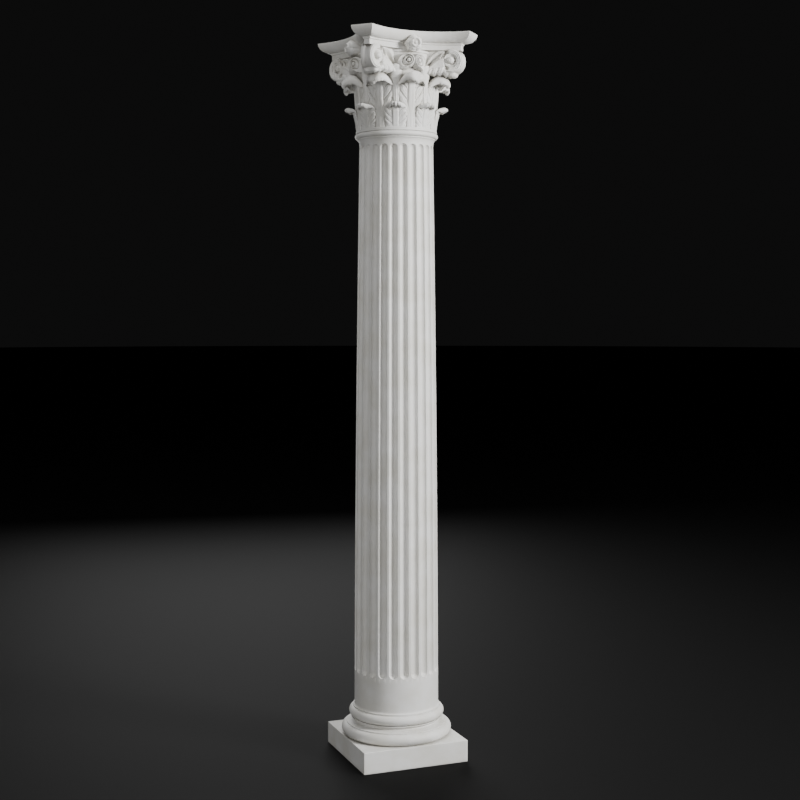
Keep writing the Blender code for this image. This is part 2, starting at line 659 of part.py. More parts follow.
def make_capital(parts, tools):
    """Join bell, abacus, leaves, stalks, scrolls and flowers into one casting.

    Bell and band stand part of a step round, so that none of their edges lies in a leaf's middle plane.
    """
    band = turned("capital", band_profile(), BAND_STEPS, parts)
    band.location.z = CAPITAL_FOOT
    band.rotation_euler.z = 2 * math.pi / BAND_STEPS / 3
    bell = applied(turned("bell", bell_profile(), BELL_STEPS, tools))
    bell.data.transform(Matrix.Translation((0.0, 0.0, CAPITAL_FOOT)) @ at_turn(0.25 * 2 * math.pi / BELL_STEPS))
    pieces = [bell.data, abacus_mesh()]
    bpy.data.objects.remove(bell)
    pitch = 2 * math.pi / LEAF_COUNT
    lower = solid_leaf("lower_leaf", lower_leaf_point, 4, 5, tools)
    upper = solid_leaf("upper_leaf", upper_leaf_point, 4, 7, tools)
    for i in range(LEAF_COUNT):
        pieces.append(placed(lower.data, pitch * (i + 0.5)))
        pieces.append(placed(upper.data, pitch * i))
    bpy.data.objects.remove(lower)
    bpy.data.objects.remove(upper)
    face = [fleuron_mesh(tools)]
    for side in (-1.0, 1.0):
        face += face_stems(side, tools) + [helix_mesh(side, tools)]
    volutes = volute_meshes(tools)
    for quarter in range(4):
        turn = quarter * math.pi / 2
        pieces += [placed(mesh, turn) for mesh in face]
        pieces += [placed(mesh, turn + math.pi / 4) for mesh in volutes]
    group = bpy.data.collections.new("capital_parts")
    tools.children.link(group)
    for number, mesh in enumerate(pieces):
        as_cutter(new_object("capital_part_%02d" % number, mesh, group))
    join = band.modifiers.new("Cast", 'BOOLEAN')
    join.operation = 'UNION'
    join.solver = 'EXACT'
    join.operand_type = 'COLLECTION'
    join.collection = group
    merge_flat_faces(band)
    band.data.materials.append(new_material("capital_paint", 1.0))


def main():
    """Build the column."""
    clear_scene()
    parts = new_collection("corinthian_column")
    tools = new_collection("cutters")
    make_plinth(parts)
    make_base(parts)
    make_shaft(parts, tools)
    make_capital(parts, tools)


main()
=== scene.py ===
# %% [markdown]
# # A Corinthian column
# The column is a stack of four castings: a square plinth, a round base, a fluted shaft and a leafy capital.
# The solids of the four already stand in the frame that is loaded here, at their real size. Each of them is
# coarse, because it was made for measuring. This lesson makes the surface that the eye sees over them.

# %% Load the frame
import math
import bmesh
import bpy
import numpy as np
from mathutils import Matrix, Vector


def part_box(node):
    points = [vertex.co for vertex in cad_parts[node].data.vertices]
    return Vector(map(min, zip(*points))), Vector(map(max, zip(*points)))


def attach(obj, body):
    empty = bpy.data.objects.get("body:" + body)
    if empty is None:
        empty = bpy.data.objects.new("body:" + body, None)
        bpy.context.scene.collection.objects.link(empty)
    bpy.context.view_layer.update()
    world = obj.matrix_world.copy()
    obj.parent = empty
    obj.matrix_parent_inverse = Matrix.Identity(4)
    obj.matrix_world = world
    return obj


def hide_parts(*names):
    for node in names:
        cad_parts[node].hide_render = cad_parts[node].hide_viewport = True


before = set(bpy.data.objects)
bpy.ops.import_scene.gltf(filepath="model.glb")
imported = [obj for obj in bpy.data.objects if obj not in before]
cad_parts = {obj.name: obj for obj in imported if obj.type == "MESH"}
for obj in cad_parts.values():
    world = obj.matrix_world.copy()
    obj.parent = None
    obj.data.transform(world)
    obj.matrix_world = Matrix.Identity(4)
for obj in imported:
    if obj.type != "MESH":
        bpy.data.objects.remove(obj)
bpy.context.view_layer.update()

# %% [markdown]
# ## Heights of the four castings
# The heights of the castings are read from the frame, so the fine surface always meets the solid that it
# covers. Under the capital's leaves runs a low plain band.

# %% Read the heights
PLINTH_LOW, PLINTH_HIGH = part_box("plinth")
BASE_LOW, BASE_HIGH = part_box("base")
SHAFT_LOW, SHAFT_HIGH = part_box("shaft")
CAPITAL_LOW, CAPITAL_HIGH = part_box("capital")
SHAFT_FOOT = SHAFT_LOW[2]
SHAFT_HEIGHT = SHAFT_HIGH[2] - SHAFT_LOW[2]
CAPITAL_FOOT = CAPITAL_LOW[2]
CAPITAL_TOP = CAPITAL_HIGH[2]
BAND_HEIGHT = 0.0120
LEAF_FOOT = CAPITAL_FOOT + BAND_HEIGHT
print("shaft", round(SHAFT_HEIGHT, 4), "capital", round(CAPITAL_TOP - CAPITAL_FOOT, 4))

# %% [markdown]
# ## Painted plaster
# The real column is cast plaster or a gypsum composite under matte white masonry paint. The paint is
# brushed on, so it has a faint grain and fills the finest detail. The hollows get painted shade: a grey
# is mixed in where the Ambient Occlusion node is dark, which is where a surface is close to another,
# broken by faint random specks. One function builds the finish, and each casting gets its own amount of
# painted shade and grain.

# %% Colour and node helpers
def linear(hex_colour):
    """Turn an sRGB hex colour into the linear colour that a shader takes."""
    channels = [int(hex_colour[i:i + 2], 16) / 255 for i in (0, 2, 4)]
    return tuple(c / 12.92 if c <= 0.04045 else ((c + 0.055) / 1.055) ** 2.4 for c in channels) + (1.0,)


def add_node(tree, kind, settings=None, inputs=None, links=None):
    """Add a node, set it up, and link other nodes' outputs into its inputs."""
    node = tree.nodes.new(kind)
    for name, value in (settings or {}).items():
        setattr(node, name, value)
    for name, value in (inputs or {}).items():
        node.inputs[name].default_value = value
    for name, output in (links or {}).items():
        tree.links.new(output, node.inputs[name])
    return node


# %% The finish
MILLIMETRE = 0.001
PAINT_WHITE = "E9E8E5"
PAINT_WARM = "DFDDD6"
# Grey of the painted shade in the hollows.
DUST_AND_SHADE_GREY = "A8A49B"


def painted_plaster(name, dust_and_shade, grain_mm, relief_mm, roughness):
    """Matte masonry paint on cast plaster: brushed grain, faint mottling, painted shade with faint specks in
    the hollows.
    """
    material = bpy.data.materials.new(name)
    material.use_nodes = True
    tree = material.node_tree
    shader = tree.nodes["Principled BSDF"]
    shader.inputs["Roughness"].default_value = roughness
    shader.inputs["Metallic"].default_value = 0.0
    shader.inputs["IOR"].default_value = 1.5
    place = add_node(tree, "ShaderNodeTexCoord")
    patches = add_node(tree, "ShaderNodeTexNoise", inputs={"Scale": 1 / (90 * MILLIMETRE), "Detail": 3.0},
                       links={"Vector": place.outputs["Object"]})
    patch_share = add_node(tree, "ShaderNodeMapRange", inputs={"From Min": 0.38, "From Max": 0.66},
                           links={"Value": patches.outputs["Fac"]})
    paint = add_node(tree, "ShaderNodeMix", {"data_type": 'RGBA'}, links={0: patch_share.outputs["Result"]})
    paint.inputs[6].default_value = linear(PAINT_WHITE)
    paint.inputs[7].default_value = linear(PAINT_WARM)
    # Painted shade: the Ambient Occlusion node finds the hollows, where a grey is mixed into the colour.
    hollow = add_node(tree, "ShaderNodeAmbientOcclusion", {"samples": 8}, {"Distance": 30 * MILLIMETRE})
    specks = add_node(tree, "ShaderNodeTexNoise", inputs={"Scale": 1 / (14 * MILLIMETRE), "Detail": 4.0},
                      links={"Vector": place.outputs["Object"]})
    open_share = add_node(tree, "ShaderNodeMath", {"operation": 'MULTIPLY_ADD'}, {1: 0.35},
                          {0: specks.outputs["Fac"], 2: hollow.outputs["AO"]})
    # Share of the painted-shade grey: most where the hollows are darkest, broken by faint random specks.
    dust_and_shade_share = add_node(tree, "ShaderNodeMapRange",
                          inputs={"From Min": 0.95, "From Max": 0.45, "To Max": dust_and_shade},
                          links={"Value": open_share.outputs[0]})
    colour = add_node(tree, "ShaderNodeMix", {"data_type": 'RGBA'}, links={0: dust_and_shade_share.outputs["Result"]})
    colour.inputs[7].default_value = linear(DUST_AND_SHADE_GREY)
    tree.links.new(paint.outputs[2], colour.inputs[6])
    tree.links.new(colour.outputs[2], shader.inputs["Base Color"])
    grain = add_node(tree, "ShaderNodeTexNoise", inputs={"Scale": 1 / (grain_mm * MILLIMETRE), "Detail": 5.0},
                     links={"Vector": place.outputs["Object"]})
    pits = add_node(tree, "ShaderNodeTexVoronoi", inputs={"Scale": 1 / (11 * MILLIMETRE)},
                    links={"Vector": place.outputs["Object"]})
    pit_share = add_node(tree, "ShaderNodeMapRange", inputs={"From Min": 0.0, "From Max": 0.16},
                         links={"Value": pits.outputs["Distance"]})
    height = add_node(tree, "ShaderNodeMath", {"operation": 'MULTIPLY_ADD'}, {1: 0.35},
                      {0: pit_share.outputs["Result"], 2: grain.outputs["Fac"]})
    bump = add_node(tree, "ShaderNodeBump", inputs={"Strength": 0.6, "Distance": relief_mm * MILLIMETRE},
                    links={"Height": height.outputs[0]})
    tree.links.new(bump.outputs["Normal"], shader.inputs["Normal"])
    return material


# The second number is how much painted shade goes into each casting's hollows.
PLINTH_PAINT = painted_plaster("painted_plaster_plinth", 0.55, 5.0, 0.5, 0.62)
BASE_PAINT = painted_plaster("painted_plaster_base", 0.45, 5.0, 0.45, 0.58)
SHAFT_PAINT = painted_plaster("painted_plaster_shaft", 0.35, 5.0, 0.4, 0.58)
CAPITAL_PAINT = painted_plaster("painted_plaster_capital", 0.75, 4.0, 0.6, 0.66)
print("finishes", [m.name for m in bpy.data.materials if m.name.startswith("painted")])

# %% [markdown]
# ## Helpers for surfaces made from a rule
# Mouldings, flutes and leaves all follow rules, so each is worked out as a grid of points. A grid becomes
# a mesh in one step, and its doubled points are merged so that poles and seams close.

# %% Grid to mesh
def grid_faces(rows, columns, wrap):
    """Corner numbers of the quads of a grid, closed round its columns if wrap is set."""
    index = np.arange(rows * columns).reshape(rows, columns)
    right = np.roll(index, -1, axis=1)
    if not wrap:
        index, right = index[:, :-1], right[:, :-1]
    return np.stack([index[:-1], right[:-1], right[1:], index[1:]], axis=-1).reshape(-1, 4)


def grid_object(name, points, wrap=False, merge=0.00002):
    """Make an object from a grid of points with the shape (rows, columns, 3)."""
    rows, columns = points.shape[:2]
    faces = grid_faces(rows, columns, wrap)
    mesh = bpy.data.meshes.new(name)
    mesh.from_pydata(points.reshape(-1, 3).tolist(), [], faces.tolist())
    shape = bmesh.new()
    shape.from_mesh(mesh)
    bmesh.ops.remove_doubles(shape, verts=shape.verts, dist=merge)
    bmesh.ops.recalc_face_normals(shape, faces=shape.faces)
    shape.to_mesh(mesh)
    shape.free()
    made = bpy.data.objects.new(name, mesh)
    bpy.context.scene.collection.objects.link(made)
    return made


def baked(item):
    """Turn an object's live modifiers into plain mesh."""
    bpy.context.view_layer.update()
    evaluated = item.evaluated_get(bpy.context.evaluated_depsgraph_get())
    mesh = bpy.data.meshes.new_from_object(evaluated)
    item.modifiers.clear()
    item.data = mesh
    return item


def joined(name, items):
    """Put several objects' meshes into one object."""
    shape = bmesh.new()
    for item in items:
        shape.from_mesh(item.data)
        bpy.data.objects.remove(item)
    mesh = bpy.data.meshes.new(name)
    shape.to_mesh(mesh)
    shape.free()
    made = bpy.data.objects.new(name, mesh)
    bpy.context.scene.collection.objects.link(made)
    return made


def finish_piece(item, node, material, sharp_degrees=50):
    """Smooth a piece, paint it, and let it stand for its casting."""
    item.data.materials.clear()
    item.data.materials.append(material)
    item.data.shade_smooth()
    item.data.set_sharp_from_angle(angle=math.radians(sharp_degrees))
    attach(item, "root")
    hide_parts(node)
    item.data.calc_loop_triangles()
    print(item.name, len(item.data.loop_triangles), "triangles")
    return item


def smooth_step(share):
    """Ease from 0 to 1."""
    share = np.clip(share, 0.0, 1.0)
    return share * share * (3 - 2 * share)


def bump_at(value, centre, width):
    """Soft bump of height 1 round a value."""
    return np.exp(-((value - centre) / width) ** 2)


def arc(centre, radii, start, end, count):
    """Points on an elliptical arc of a profile, angles in degrees."""
    angles = np.radians(np.linspace(start, end, count + 1))
    return [(centre[0] + radii[0] * math.cos(a), centre[1] + radii[1] * math.sin(a)) for a in angles]


# %% [markdown]
# ## Ring of copies
# Leaves, scrolls and flowers repeat round the axis. A Geometry Nodes tree puts one turned copy for each
# place in the ring and makes the copies real, which is quicker to change than copying objects by hand.

# %% The ring tree
def ring_tree():
    """Build a node group that repeats a mesh round the Z axis."""
    tree = bpy.data.node_groups.new("ring_of_copies", 'GeometryNodeTree')
    tree.interface.new_socket("Geometry", in_out='INPUT', socket_type='NodeSocketGeometry')
    tree.interface.new_socket("Count", in_out='INPUT', socket_type='NodeSocketInt')
    tree.interface.new_socket("First Turn", in_out='INPUT', socket_type='NodeSocketFloat')
    tree.interface.new_socket("Paint", in_out='INPUT', socket_type='NodeSocketMaterial')
    tree.interface.new_socket("Geometry", in_out='OUTPUT', socket_type='NodeSocketGeometry')
    source = add_node(tree, "NodeGroupInput")
    result = add_node(tree, "NodeGroupOutput")
    places = add_node(tree, "GeometryNodeMeshLine", inputs={"Offset": (0.0, 0.0, 0.0)},
                      links={"Count": source.outputs["Count"]})
    number = add_node(tree, "GeometryNodeInputIndex")
    step = add_node(tree, "ShaderNodeMath", {"operation": 'DIVIDE'}, {0: 2 * math.pi},
                    {1: source.outputs["Count"]})
    turn = add_node(tree, "ShaderNodeMath", {"operation": 'MULTIPLY_ADD'},
                    links={0: number.outputs[0], 1: step.outputs[0], 2: source.outputs["First Turn"]})
    rotation = add_node(tree, "ShaderNodeCombineXYZ", links={"Z": turn.outputs[0]})
    copies = add_node(tree, "GeometryNodeInstanceOnPoints",
                      links={"Points": places.outputs[0], "Instance": source.outputs["Geometry"],
                             "Rotation": rotation.outputs[0]})
    real = add_node(tree, "GeometryNodeRealizeInstances", links={"Geometry": copies.outputs[0]})
    painted = add_node(tree, "GeometryNodeSetMaterial",
                       links={"Geometry": real.outputs[0], "Material": source.outputs["Paint"]})
    tree.links.new(painted.outputs[0], result.inputs[0])
    return tree


RING = ring_tree()


def ring_of(item, count, first_turn, material):
    """Repeat an object round the axis and bake the result."""
    repeat = item.modifiers.new("Ring", 'NODES')
    repeat.node_group = RING
    sockets = {socket.name: socket.identifier for socket in RING.interface.items_tree
               if socket.in_out == 'INPUT'}
    repeat[sockets["Count"]] = count
    repeat[sockets["First Turn"]] = first_turn
    repeat[sockets["Paint"]] = material
    return baked(item)


print("ring tree has", len(RING.nodes), "nodes")

# %% [markdown]
# ## Plinth
# The plinth is a plain square slab. Its arrises are sharp but not perfect: paint and knocks round them by
# a millimetre or two. A bevelled block with a fine grid lets those edges wander a little.

# %% Make the plinth
LONG_EDGE = 0.030
WANDER_WAVE = 0.030


def worn_block(name, low, high, bevel, wander):
    """Block with narrow bevels whose surface wanders by a fraction of a millimetre."""
    shape = bmesh.new()
    bmesh.ops.create_cube(shape, size=1.0)
    size = [high[i] - low[i] for i in range(3)]
    middle = [(high[i] + low[i]) / 2 for i in range(3)]
    bmesh.ops.scale(shape, vec=size, verts=shape.verts)
    bmesh.ops.translate(shape, vec=middle, verts=shape.verts)
    bmesh.ops.bevel(shape, geom=shape.edges, offset=bevel, segments=3, profile=0.6, affect='EDGES')
    long_edges = [edge for edge in shape.edges if edge.calc_length() > LONG_EDGE]
    bmesh.ops.subdivide_edges(shape, edges=long_edges, cuts=28, use_grid_fill=True)
    for vert in shape.verts:
        x, y, z = (value / WANDER_WAVE for value in vert.co)
        shift = math.sin(1.7 * x + 2.1 * y) * math.cos(1.3 * y - 2.3 * z) * math.sin(2.9 * z + 0.7 * x)
        vert.co -= vert.normal * wander * (0.5 + 0.5 * shift)
    mesh = bpy.data.meshes.new(name)
    shape.to_mesh(mesh)
    shape.free()
    made = bpy.data.objects.new(name, mesh)
    bpy.context.scene.collection.objects.link(made)
    return made


plinth = worn_block("plinth_slab", PLINTH_LOW, PLINTH_HIGH, 0.0022, 0.0003)
finish_piece(plinth, "plinth", PLINTH_PAINT)

# %% [markdown]
# ## Base
# The Attic base is turned: a large torus, a fillet, a hollow scotia, another fillet and a smaller torus.
# A profile turned round the axis by a Screw modifier gives it, as a template run round wet plaster does.

# %% Turn the base
BASE_HEIGHT = BASE_HIGH[2] - BASE_LOW[2]
LOWER_TORUS, LOWER_REACH = 0.024, 0.2328
UPPER_TORUS, UPPER_REACH = 0.0205, 0.2010
UPPER_FILLET, LOWER_FILLET = 0.1930, 0.2120
UPPER_FILLET_HEIGHT, LOWER_FILLET_HEIGHT = 0.004, 0.005
SCOTIA_DEPTH, THROAT_DROP = 0.010, 0.0065


def turned(name, profile, steps, foot):
    """Turn a profile, listed from top to bottom, about the axis."""
    mesh = bpy.data.meshes.new(name)
    edges = [(i, i + 1) for i in range(len(profile) - 1)]
    mesh.from_pydata([(r, 0.0, foot + z) for r, z in profile], edges, [])
    made = bpy.data.objects.new(name, mesh)
    bpy.context.scene.collection.objects.link(made)
    screw = made.modifiers.new("Turn", 'SCREW')
    screw.steps = steps
    screw.render_steps = steps
    screw.use_merge_vertices = True
    screw.merge_threshold = 0.00001
    return baked(made)


def base_profile():
    """Attic base from the upper torus down to the plinth."""
    upper_foot = BASE_HEIGHT - 2 * UPPER_TORUS
    fillet_foot = upper_foot - UPPER_FILLET_HEIGHT
    lower_top = 2 * LOWER_TORUS
    throat = (UPPER_FILLET - SCOTIA_DEPTH, fillet_foot - THROAT_DROP)
    upper_centre = (UPPER_REACH - UPPER_TORUS, BASE_HEIGHT - UPPER_TORUS)
    profile = [(0.0, BASE_HEIGHT)]
    profile += arc(upper_centre, (UPPER_TORUS, UPPER_TORUS), 90, -90, 28)
    profile += [(UPPER_FILLET - 0.0004, upper_foot), (UPPER_FILLET, upper_foot - 0.0005)]
    profile += [(UPPER_FILLET, fillet_foot + 0.0005), (UPPER_FILLET - 0.0006, fillet_foot)]
    profile += arc((UPPER_FILLET, throat[1]), (SCOTIA_DEPTH, fillet_foot - throat[1]), 115, 180, 8)
    scotia_foot = lower_top + LOWER_FILLET_HEIGHT
    lower_radii = (LOWER_FILLET - throat[0], throat[1] - scotia_foot)
    profile += arc((LOWER_FILLET, throat[1]), lower_radii, 190, 268, 12)
    profile += [(LOWER_FILLET, scotia_foot - 0.0006), (LOWER_FILLET, lower_top)]
    profile += arc((LOWER_REACH - LOWER_TORUS, LOWER_TORUS), (LOWER_TORUS, LOWER_TORUS), 88, -90, 32)
    profile.append((0.0, 0.0))
    return profile


base = turned("base_ring", base_profile(), 180, BASE_LOW[2])
finish_piece(base, "base", BASE_PAINT, 35)

# %% [markdown]
# ## Fluted shaft
# The shaft swells and tapers by its entasis, and 24 flutes with round ends run up it. The flutes could be
# cut with a Boolean, but a grid is cleaner: its columns crowd into each flute and its rows into the
# niches at both ends, so that every arris is a line of the grid. The arrises are eased by less than
# half a millimetre, as plaster edges are.

# %% Shaft sizes
FOOT_RADIUS, NECK_RADIUS, ENTASIS_POWER = 0.178, 0.1528, 1.5
CINCTURE_HEIGHT, CINCTURE_REACH, FOOT_COVE = 0.006, 0.184, 0.010
NECK_COVE, NECK_FILLET, NECK_FILLET_REACH = 0.025, 0.004, 0.1615
ASTRAGAL, ASTRAGAL_REACH = 0.0110, 0.1722
FLUTES, FLUTE_TURN = 24, math.radians(4.7)
FLUTE_WIDTH_SHARE, FLUTE_DEPTH_SHARE = 0.77, 0.42
FLUTE_FOOT_MARGIN, FLUTE_NECK_MARGIN = 0.137, 0.001
FLUTE_COLUMNS = 19
LAND_SHARES = np.array([0.06, 0.16, 0.36, 0.64, 0.84, 0.94])
ARRIS_EASE = 0.0004
SHAFT_PLAIN_LOW = CINCTURE_HEIGHT + FOOT_COVE
SHAFT_PLAIN_HIGH = SHAFT_HEIGHT - 2 * ASTRAGAL - NECK_FILLET - NECK_COVE
FLUTE_LOW = SHAFT_PLAIN_LOW + FLUTE_FOOT_MARGIN
FLUTE_HIGH = SHAFT_PLAIN_HIGH - FLUTE_NECK_MARGIN
PITCH = 2 * math.pi / FLUTES


def shaft_radius(height):
    """Radius of the plain shaft at a height above its foot."""
    share = np.clip((height - SHAFT_PLAIN_LOW) / (SHAFT_PLAIN_HIGH - SHAFT_PLAIN_LOW), 0.0, 1.0)
    return FOOT_RADIUS - (FOOT_RADIUS - NECK_RADIUS) * share ** ENTASIS_POWER


print("one flute is", round(FLUTE_WIDTH_SHARE * PITCH * FOOT_RADIUS * 1000, 1), "mm wide at the foot")

# %% Flute section
def flute_scale(height):
    """1 along the flute, falling to 0 at its round ends."""
    half = 0.5 * FLUTE_WIDTH_SHARE * PITCH * shaft_radius(height)
    reach = np.minimum(height - FLUTE_LOW, FLUTE_HIGH - height)
    share = np.clip(reach / half, 0.0, 1.0)
    return np.sqrt(1 - (1 - share) ** 2)


def flute_row(height):
    """Angles from the flute's middle, and radii, across one flute and one land."""
    surface = shaft_radius(height)
    half = 0.5 * FLUTE_WIDTH_SHARE * PITCH
    depth = 2 * half * surface * FLUTE_DEPTH_SHARE
    rod = ((half * surface) ** 2 + depth ** 2) / (2 * depth)
    scale = flute_scale(height)
    inside = np.sin(np.linspace(-1, 1, FLUTE_COLUMNS) * math.pi / 2) * half * scale
    outside = half * scale + LAND_SHARES * (PITCH - 2 * half * scale)
    middle = surface + scale * (rod - depth)
    under = np.maximum((rod * scale) ** 2 - (middle * np.sin(inside)) ** 2, 0.0)
    groove = np.minimum(middle * np.cos(inside) - np.sqrt(under), surface)
    ease = ARRIS_EASE * min(1.0, float(scale) * 4)
    groove[[0, -1]] -= ease
    ridge = np.full(LAND_SHARES.shape, surface)
    ridge[[0, -1]] -= 0.25 * ease
    return np.concatenate([inside, outside]), np.concatenate([groove, ridge])


def shaft_heights():
    """Row heights: close together in the round ends, wide apart between them."""
    half = 0.5 * FLUTE_WIDTH_SHARE * PITCH * FOOT_RADIUS
    ends = half * (1 - np.cos(np.linspace(0, math.pi / 2, 15)))
    middle = np.linspace(FLUTE_LOW + half, FLUTE_HIGH - half, 44)[1:-1]
    return np.concatenate([FLUTE_LOW + ends, middle, (FLUTE_HIGH - ends)[::-1]])


# %% Build the shaft
def round_row(radius, height):
    """One plain ring of the grid, with its columns where a flute row has them."""
    half = 0.5 * FLUTE_WIDTH_SHARE * PITCH
    inside = np.linspace(-1, 1, FLUTE_COLUMNS) * half
    angles = np.concatenate([inside, half + LAND_SHARES * (PITCH - 2 * half)])
    return angles, np.full(angles.shape, radius), height


def shaft_rows():
    """All rows of the shaft from top to bottom as (angles, radii, height)."""
    rows = [round_row(0.0, SHAFT_HEIGHT)]
    bead_centre = (ASTRAGAL_REACH - ASTRAGAL, SHAFT_HEIGHT - ASTRAGAL)
    rows += [round_row(r, z) for r, z in arc(bead_centre, (ASTRAGAL, ASTRAGAL), 90, -90, 14)]
    fillet_top = SHAFT_HEIGHT - 2 * ASTRAGAL
    cove_top = fillet_top - NECK_FILLET
    rows += [round_row(NECK_FILLET_REACH, fillet_top), round_row(NECK_FILLET_REACH, cove_top + ARRIS_EASE)]
    cove = NECK_FILLET_REACH - NECK_RADIUS
    cove_points = arc((NECK_FILLET_REACH, SHAFT_PLAIN_HIGH), (cove, NECK_COVE), 90, 180, 12)
    rows += [round_row(r, z) for r, z in cove_points]
    for height in shaft_heights()[::-1]:
        angles, radii = flute_row(height)
        rows.append((angles, radii, height))
    rows += [round_row(shaft_radius(z), z) for z in np.linspace(FLUTE_LOW - 0.001, SHAFT_PLAIN_LOW, 8)]
    foot_cove = CINCTURE_REACH - FOOT_RADIUS
    foot_points = arc((CINCTURE_REACH, SHAFT_PLAIN_LOW), (foot_cove, FOOT_COVE), 180, 270, 8)
    rows += [round_row(r, z) for r, z in foot_points]
    rows.append(round_row(CINCTURE_REACH, CINCTURE_HEIGHT - 0.0005))
    rows += [round_row(CINCTURE_REACH, 0.0), round_row(0.0, 0.0)]
    return rows


def shaft_grid():
    """Points of the whole shaft."""
    grid = []
    for angles, radii, height in shaft_rows():
        turns = np.concatenate([angles + FLUTE_TURN + PITCH * i for i in range(FLUTES)])
        reach = np.tile(radii, FLUTES)
        grid.append(np.stack([reach * np.sin(turns), -reach * np.cos(turns),
                              np.full(turns.shape, SHAFT_FOOT + height)], axis=-1))
    return np.array(grid)


shaft = grid_object("shaft_fluted", shaft_grid(), wrap=True)
finish_piece(shaft, "shaft", SHAFT_PAINT, 32)

# %% [markdown]
# ## Capital: band, bell and abacus
# Under the carving is a plain band and a bell that flares to a lip. On top lies the abacus, a slab with
# four hollow sides and cut-off horns. Its edge is an ovolo over a fillet over a recessed band. The sides
# are arcs, so the plan at each level is worked out and the levels are lofted.

# %% Abacus sizes
OVOLO, OVOLO_FILLET, ABACUS_BAND = 0.040, 0.007, 0.021
ABACUS_FOOT = CAPITAL_TOP - OVOLO - OVOLO_FILLET - ABACUS_BAND
HORN_REACH, HORN_WIDTH, SIDE_REACH = 0.3393, 0.0912, 0.1933
BAND_HORN_REACH, BAND_HORN_WIDTH, BAND_SIDE_REACH = 0.290, 0.024, 0.165
BAND_REACH, BELL_RADIUS, BELL_LIP = 0.1675, 0.160, 0.177
BELL_LIP_RADIUS, BELL_FLARE_POWER = 0.006, 2.4


def abacus_plan(horn_reach, horn_width, side_reach, steps=44):
    """Plan of the abacus at one level."""
    half = 0.5 * horn_width
    corner = (horn_reach - half) * math.sqrt(0.5)
    depth = (horn_reach + half) * math.sqrt(0.5)
    sag = depth - side_reach
    radius = (corner ** 2 + sag ** 2) / (2 * sag)
    along = corner * np.linspace(-1, 1, steps + 1)
    out = side_reach + radius - np.sqrt(radius ** 2 - along ** 2)
    side = np.stack([along, -out], axis=-1)
    horn_start, horn_end = side[-1], np.array([-side[0][1], side[0][0]])
    horn = [horn_start + (horn_end - horn_start) * share for share in (0.02, 0.25, 0.5, 0.75, 0.98)]
    side = np.concatenate([side, horn])
    turns = [np.array([[math.cos(a), -math.sin(a)], [math.sin(a), math.cos(a)]])
             for a in np.arange(4) * math.pi / 2]
    return np.concatenate([side @ turn.T for turn in turns])


# %% Build the abacus
def abacus_grid():
    """Points of the abacus from its underside up over the ovolo to the top."""
    band = np.array([BAND_HORN_REACH, BAND_HORN_WIDTH, BAND_SIDE_REACH])
    fillet = band + np.array([0.004, 0.008, 0.004])
    top = np.array([HORN_REACH, HORN_WIDTH, SIDE_REACH])
    levels = [(0.0, band - 0.0006), (0.0006, band)]
    levels += [(ABACUS_BAND - 0.0005, band), (ABACUS_BAND, fillet - 0.001)]
    levels += [(ABACUS_BAND + 0.0006, fillet), (ABACUS_BAND + OVOLO_FILLET - 0.0004, fillet)]
    for angle in np.radians(np.linspace(8, 90, 15)):
        height = ABACUS_BAND + OVOLO_FILLET + (OVOLO - 0.0012) * (1 - math.cos(angle))
        levels.append((height, fillet + (top - fillet) * math.sin(angle)))
    levels += [(ABACUS_BAND + OVOLO_FILLET + OVOLO - 0.0004, top - 0.0003)]
    levels += [(ABACUS_BAND + OVOLO_FILLET + OVOLO, top - 0.0015)]
    grid = []
    for height, sizes in levels:
        plan = abacus_plan(*sizes)
        grid.append(np.column_stack([plan, np.full(len(plan), ABACUS_FOOT + height)]))
    for row, place in ((0, 0), (-1, len(grid))):
        flat = grid[row].copy()
        flat[:, :2] *= 0.5
        grid.insert(place if place == 0 else len(grid), flat)
        centre = flat.copy()
        centre[:, :2] = 0.0
        grid.insert(0 if place == 0 else len(grid), centre)
    return np.array(grid)


abacus = grid_object("capital_abacus", abacus_grid(), wrap=True)
finish_piece(abacus, "capital", CAPITAL_PAINT, 35)

# %% Turn the band and the bell
def bell_profile():
    """Bell from inside the abacus down to the capital's foot."""
    rise = ABACUS_FOOT - CAPITAL_FOOT
    lip = BELL_LIP - BELL_LIP_RADIUS
    profile = [(0.0, rise + 0.010), (lip, rise + 0.010), (lip, rise - 0.002)]
    profile += arc((lip, rise - 0.008), (BELL_LIP_RADIUS, BELL_LIP_RADIUS), 90, -60, 8)
    shares = np.linspace(0.0, 1.0, 20)
    top, foot = rise - 0.014, BAND_HEIGHT
    for share in shares:
        radius = BELL_RADIUS + (BELL_LIP - 0.005 - BELL_RADIUS) * (1 - share) ** BELL_FLARE_POWER
        profile.append((radius, top + (foot - top) * share))
    profile += [(BAND_REACH - 0.0015, BAND_HEIGHT), (BAND_REACH, BAND_HEIGHT - 0.0015)]
    profile += [(BAND_REACH, 0.0012), (BAND_REACH - 0.0012, 0.0), (0.0, 0.0)]
    return profile


bell = turned("capital_bell", bell_profile(), 144, CAPITAL_FOOT)
finish_piece(bell, "capital", CAPITAL_PAINT, 35)

# %% [markdown]
# ## Acanthus carving
# An acanthus leaf has a broad midrib, and veins that leave it at a steep angle and end in the lobes of
# the edge. Where two lobes meet there is a deep groove. All the leaves share this carving: the function
# takes a place across (-1 to 1) and along (0 to 1) the leaf and gives the width of the leaf there and
# how far the surface stands proud. Paint has filled the casting, so the relief is blunt.

# %% Acanthus rule
VEIN_LEAN = 1.7
TEETH_IN_LOBE = 3
MIDRIB_HALF = 0.28
PATH_STEP = 0.004


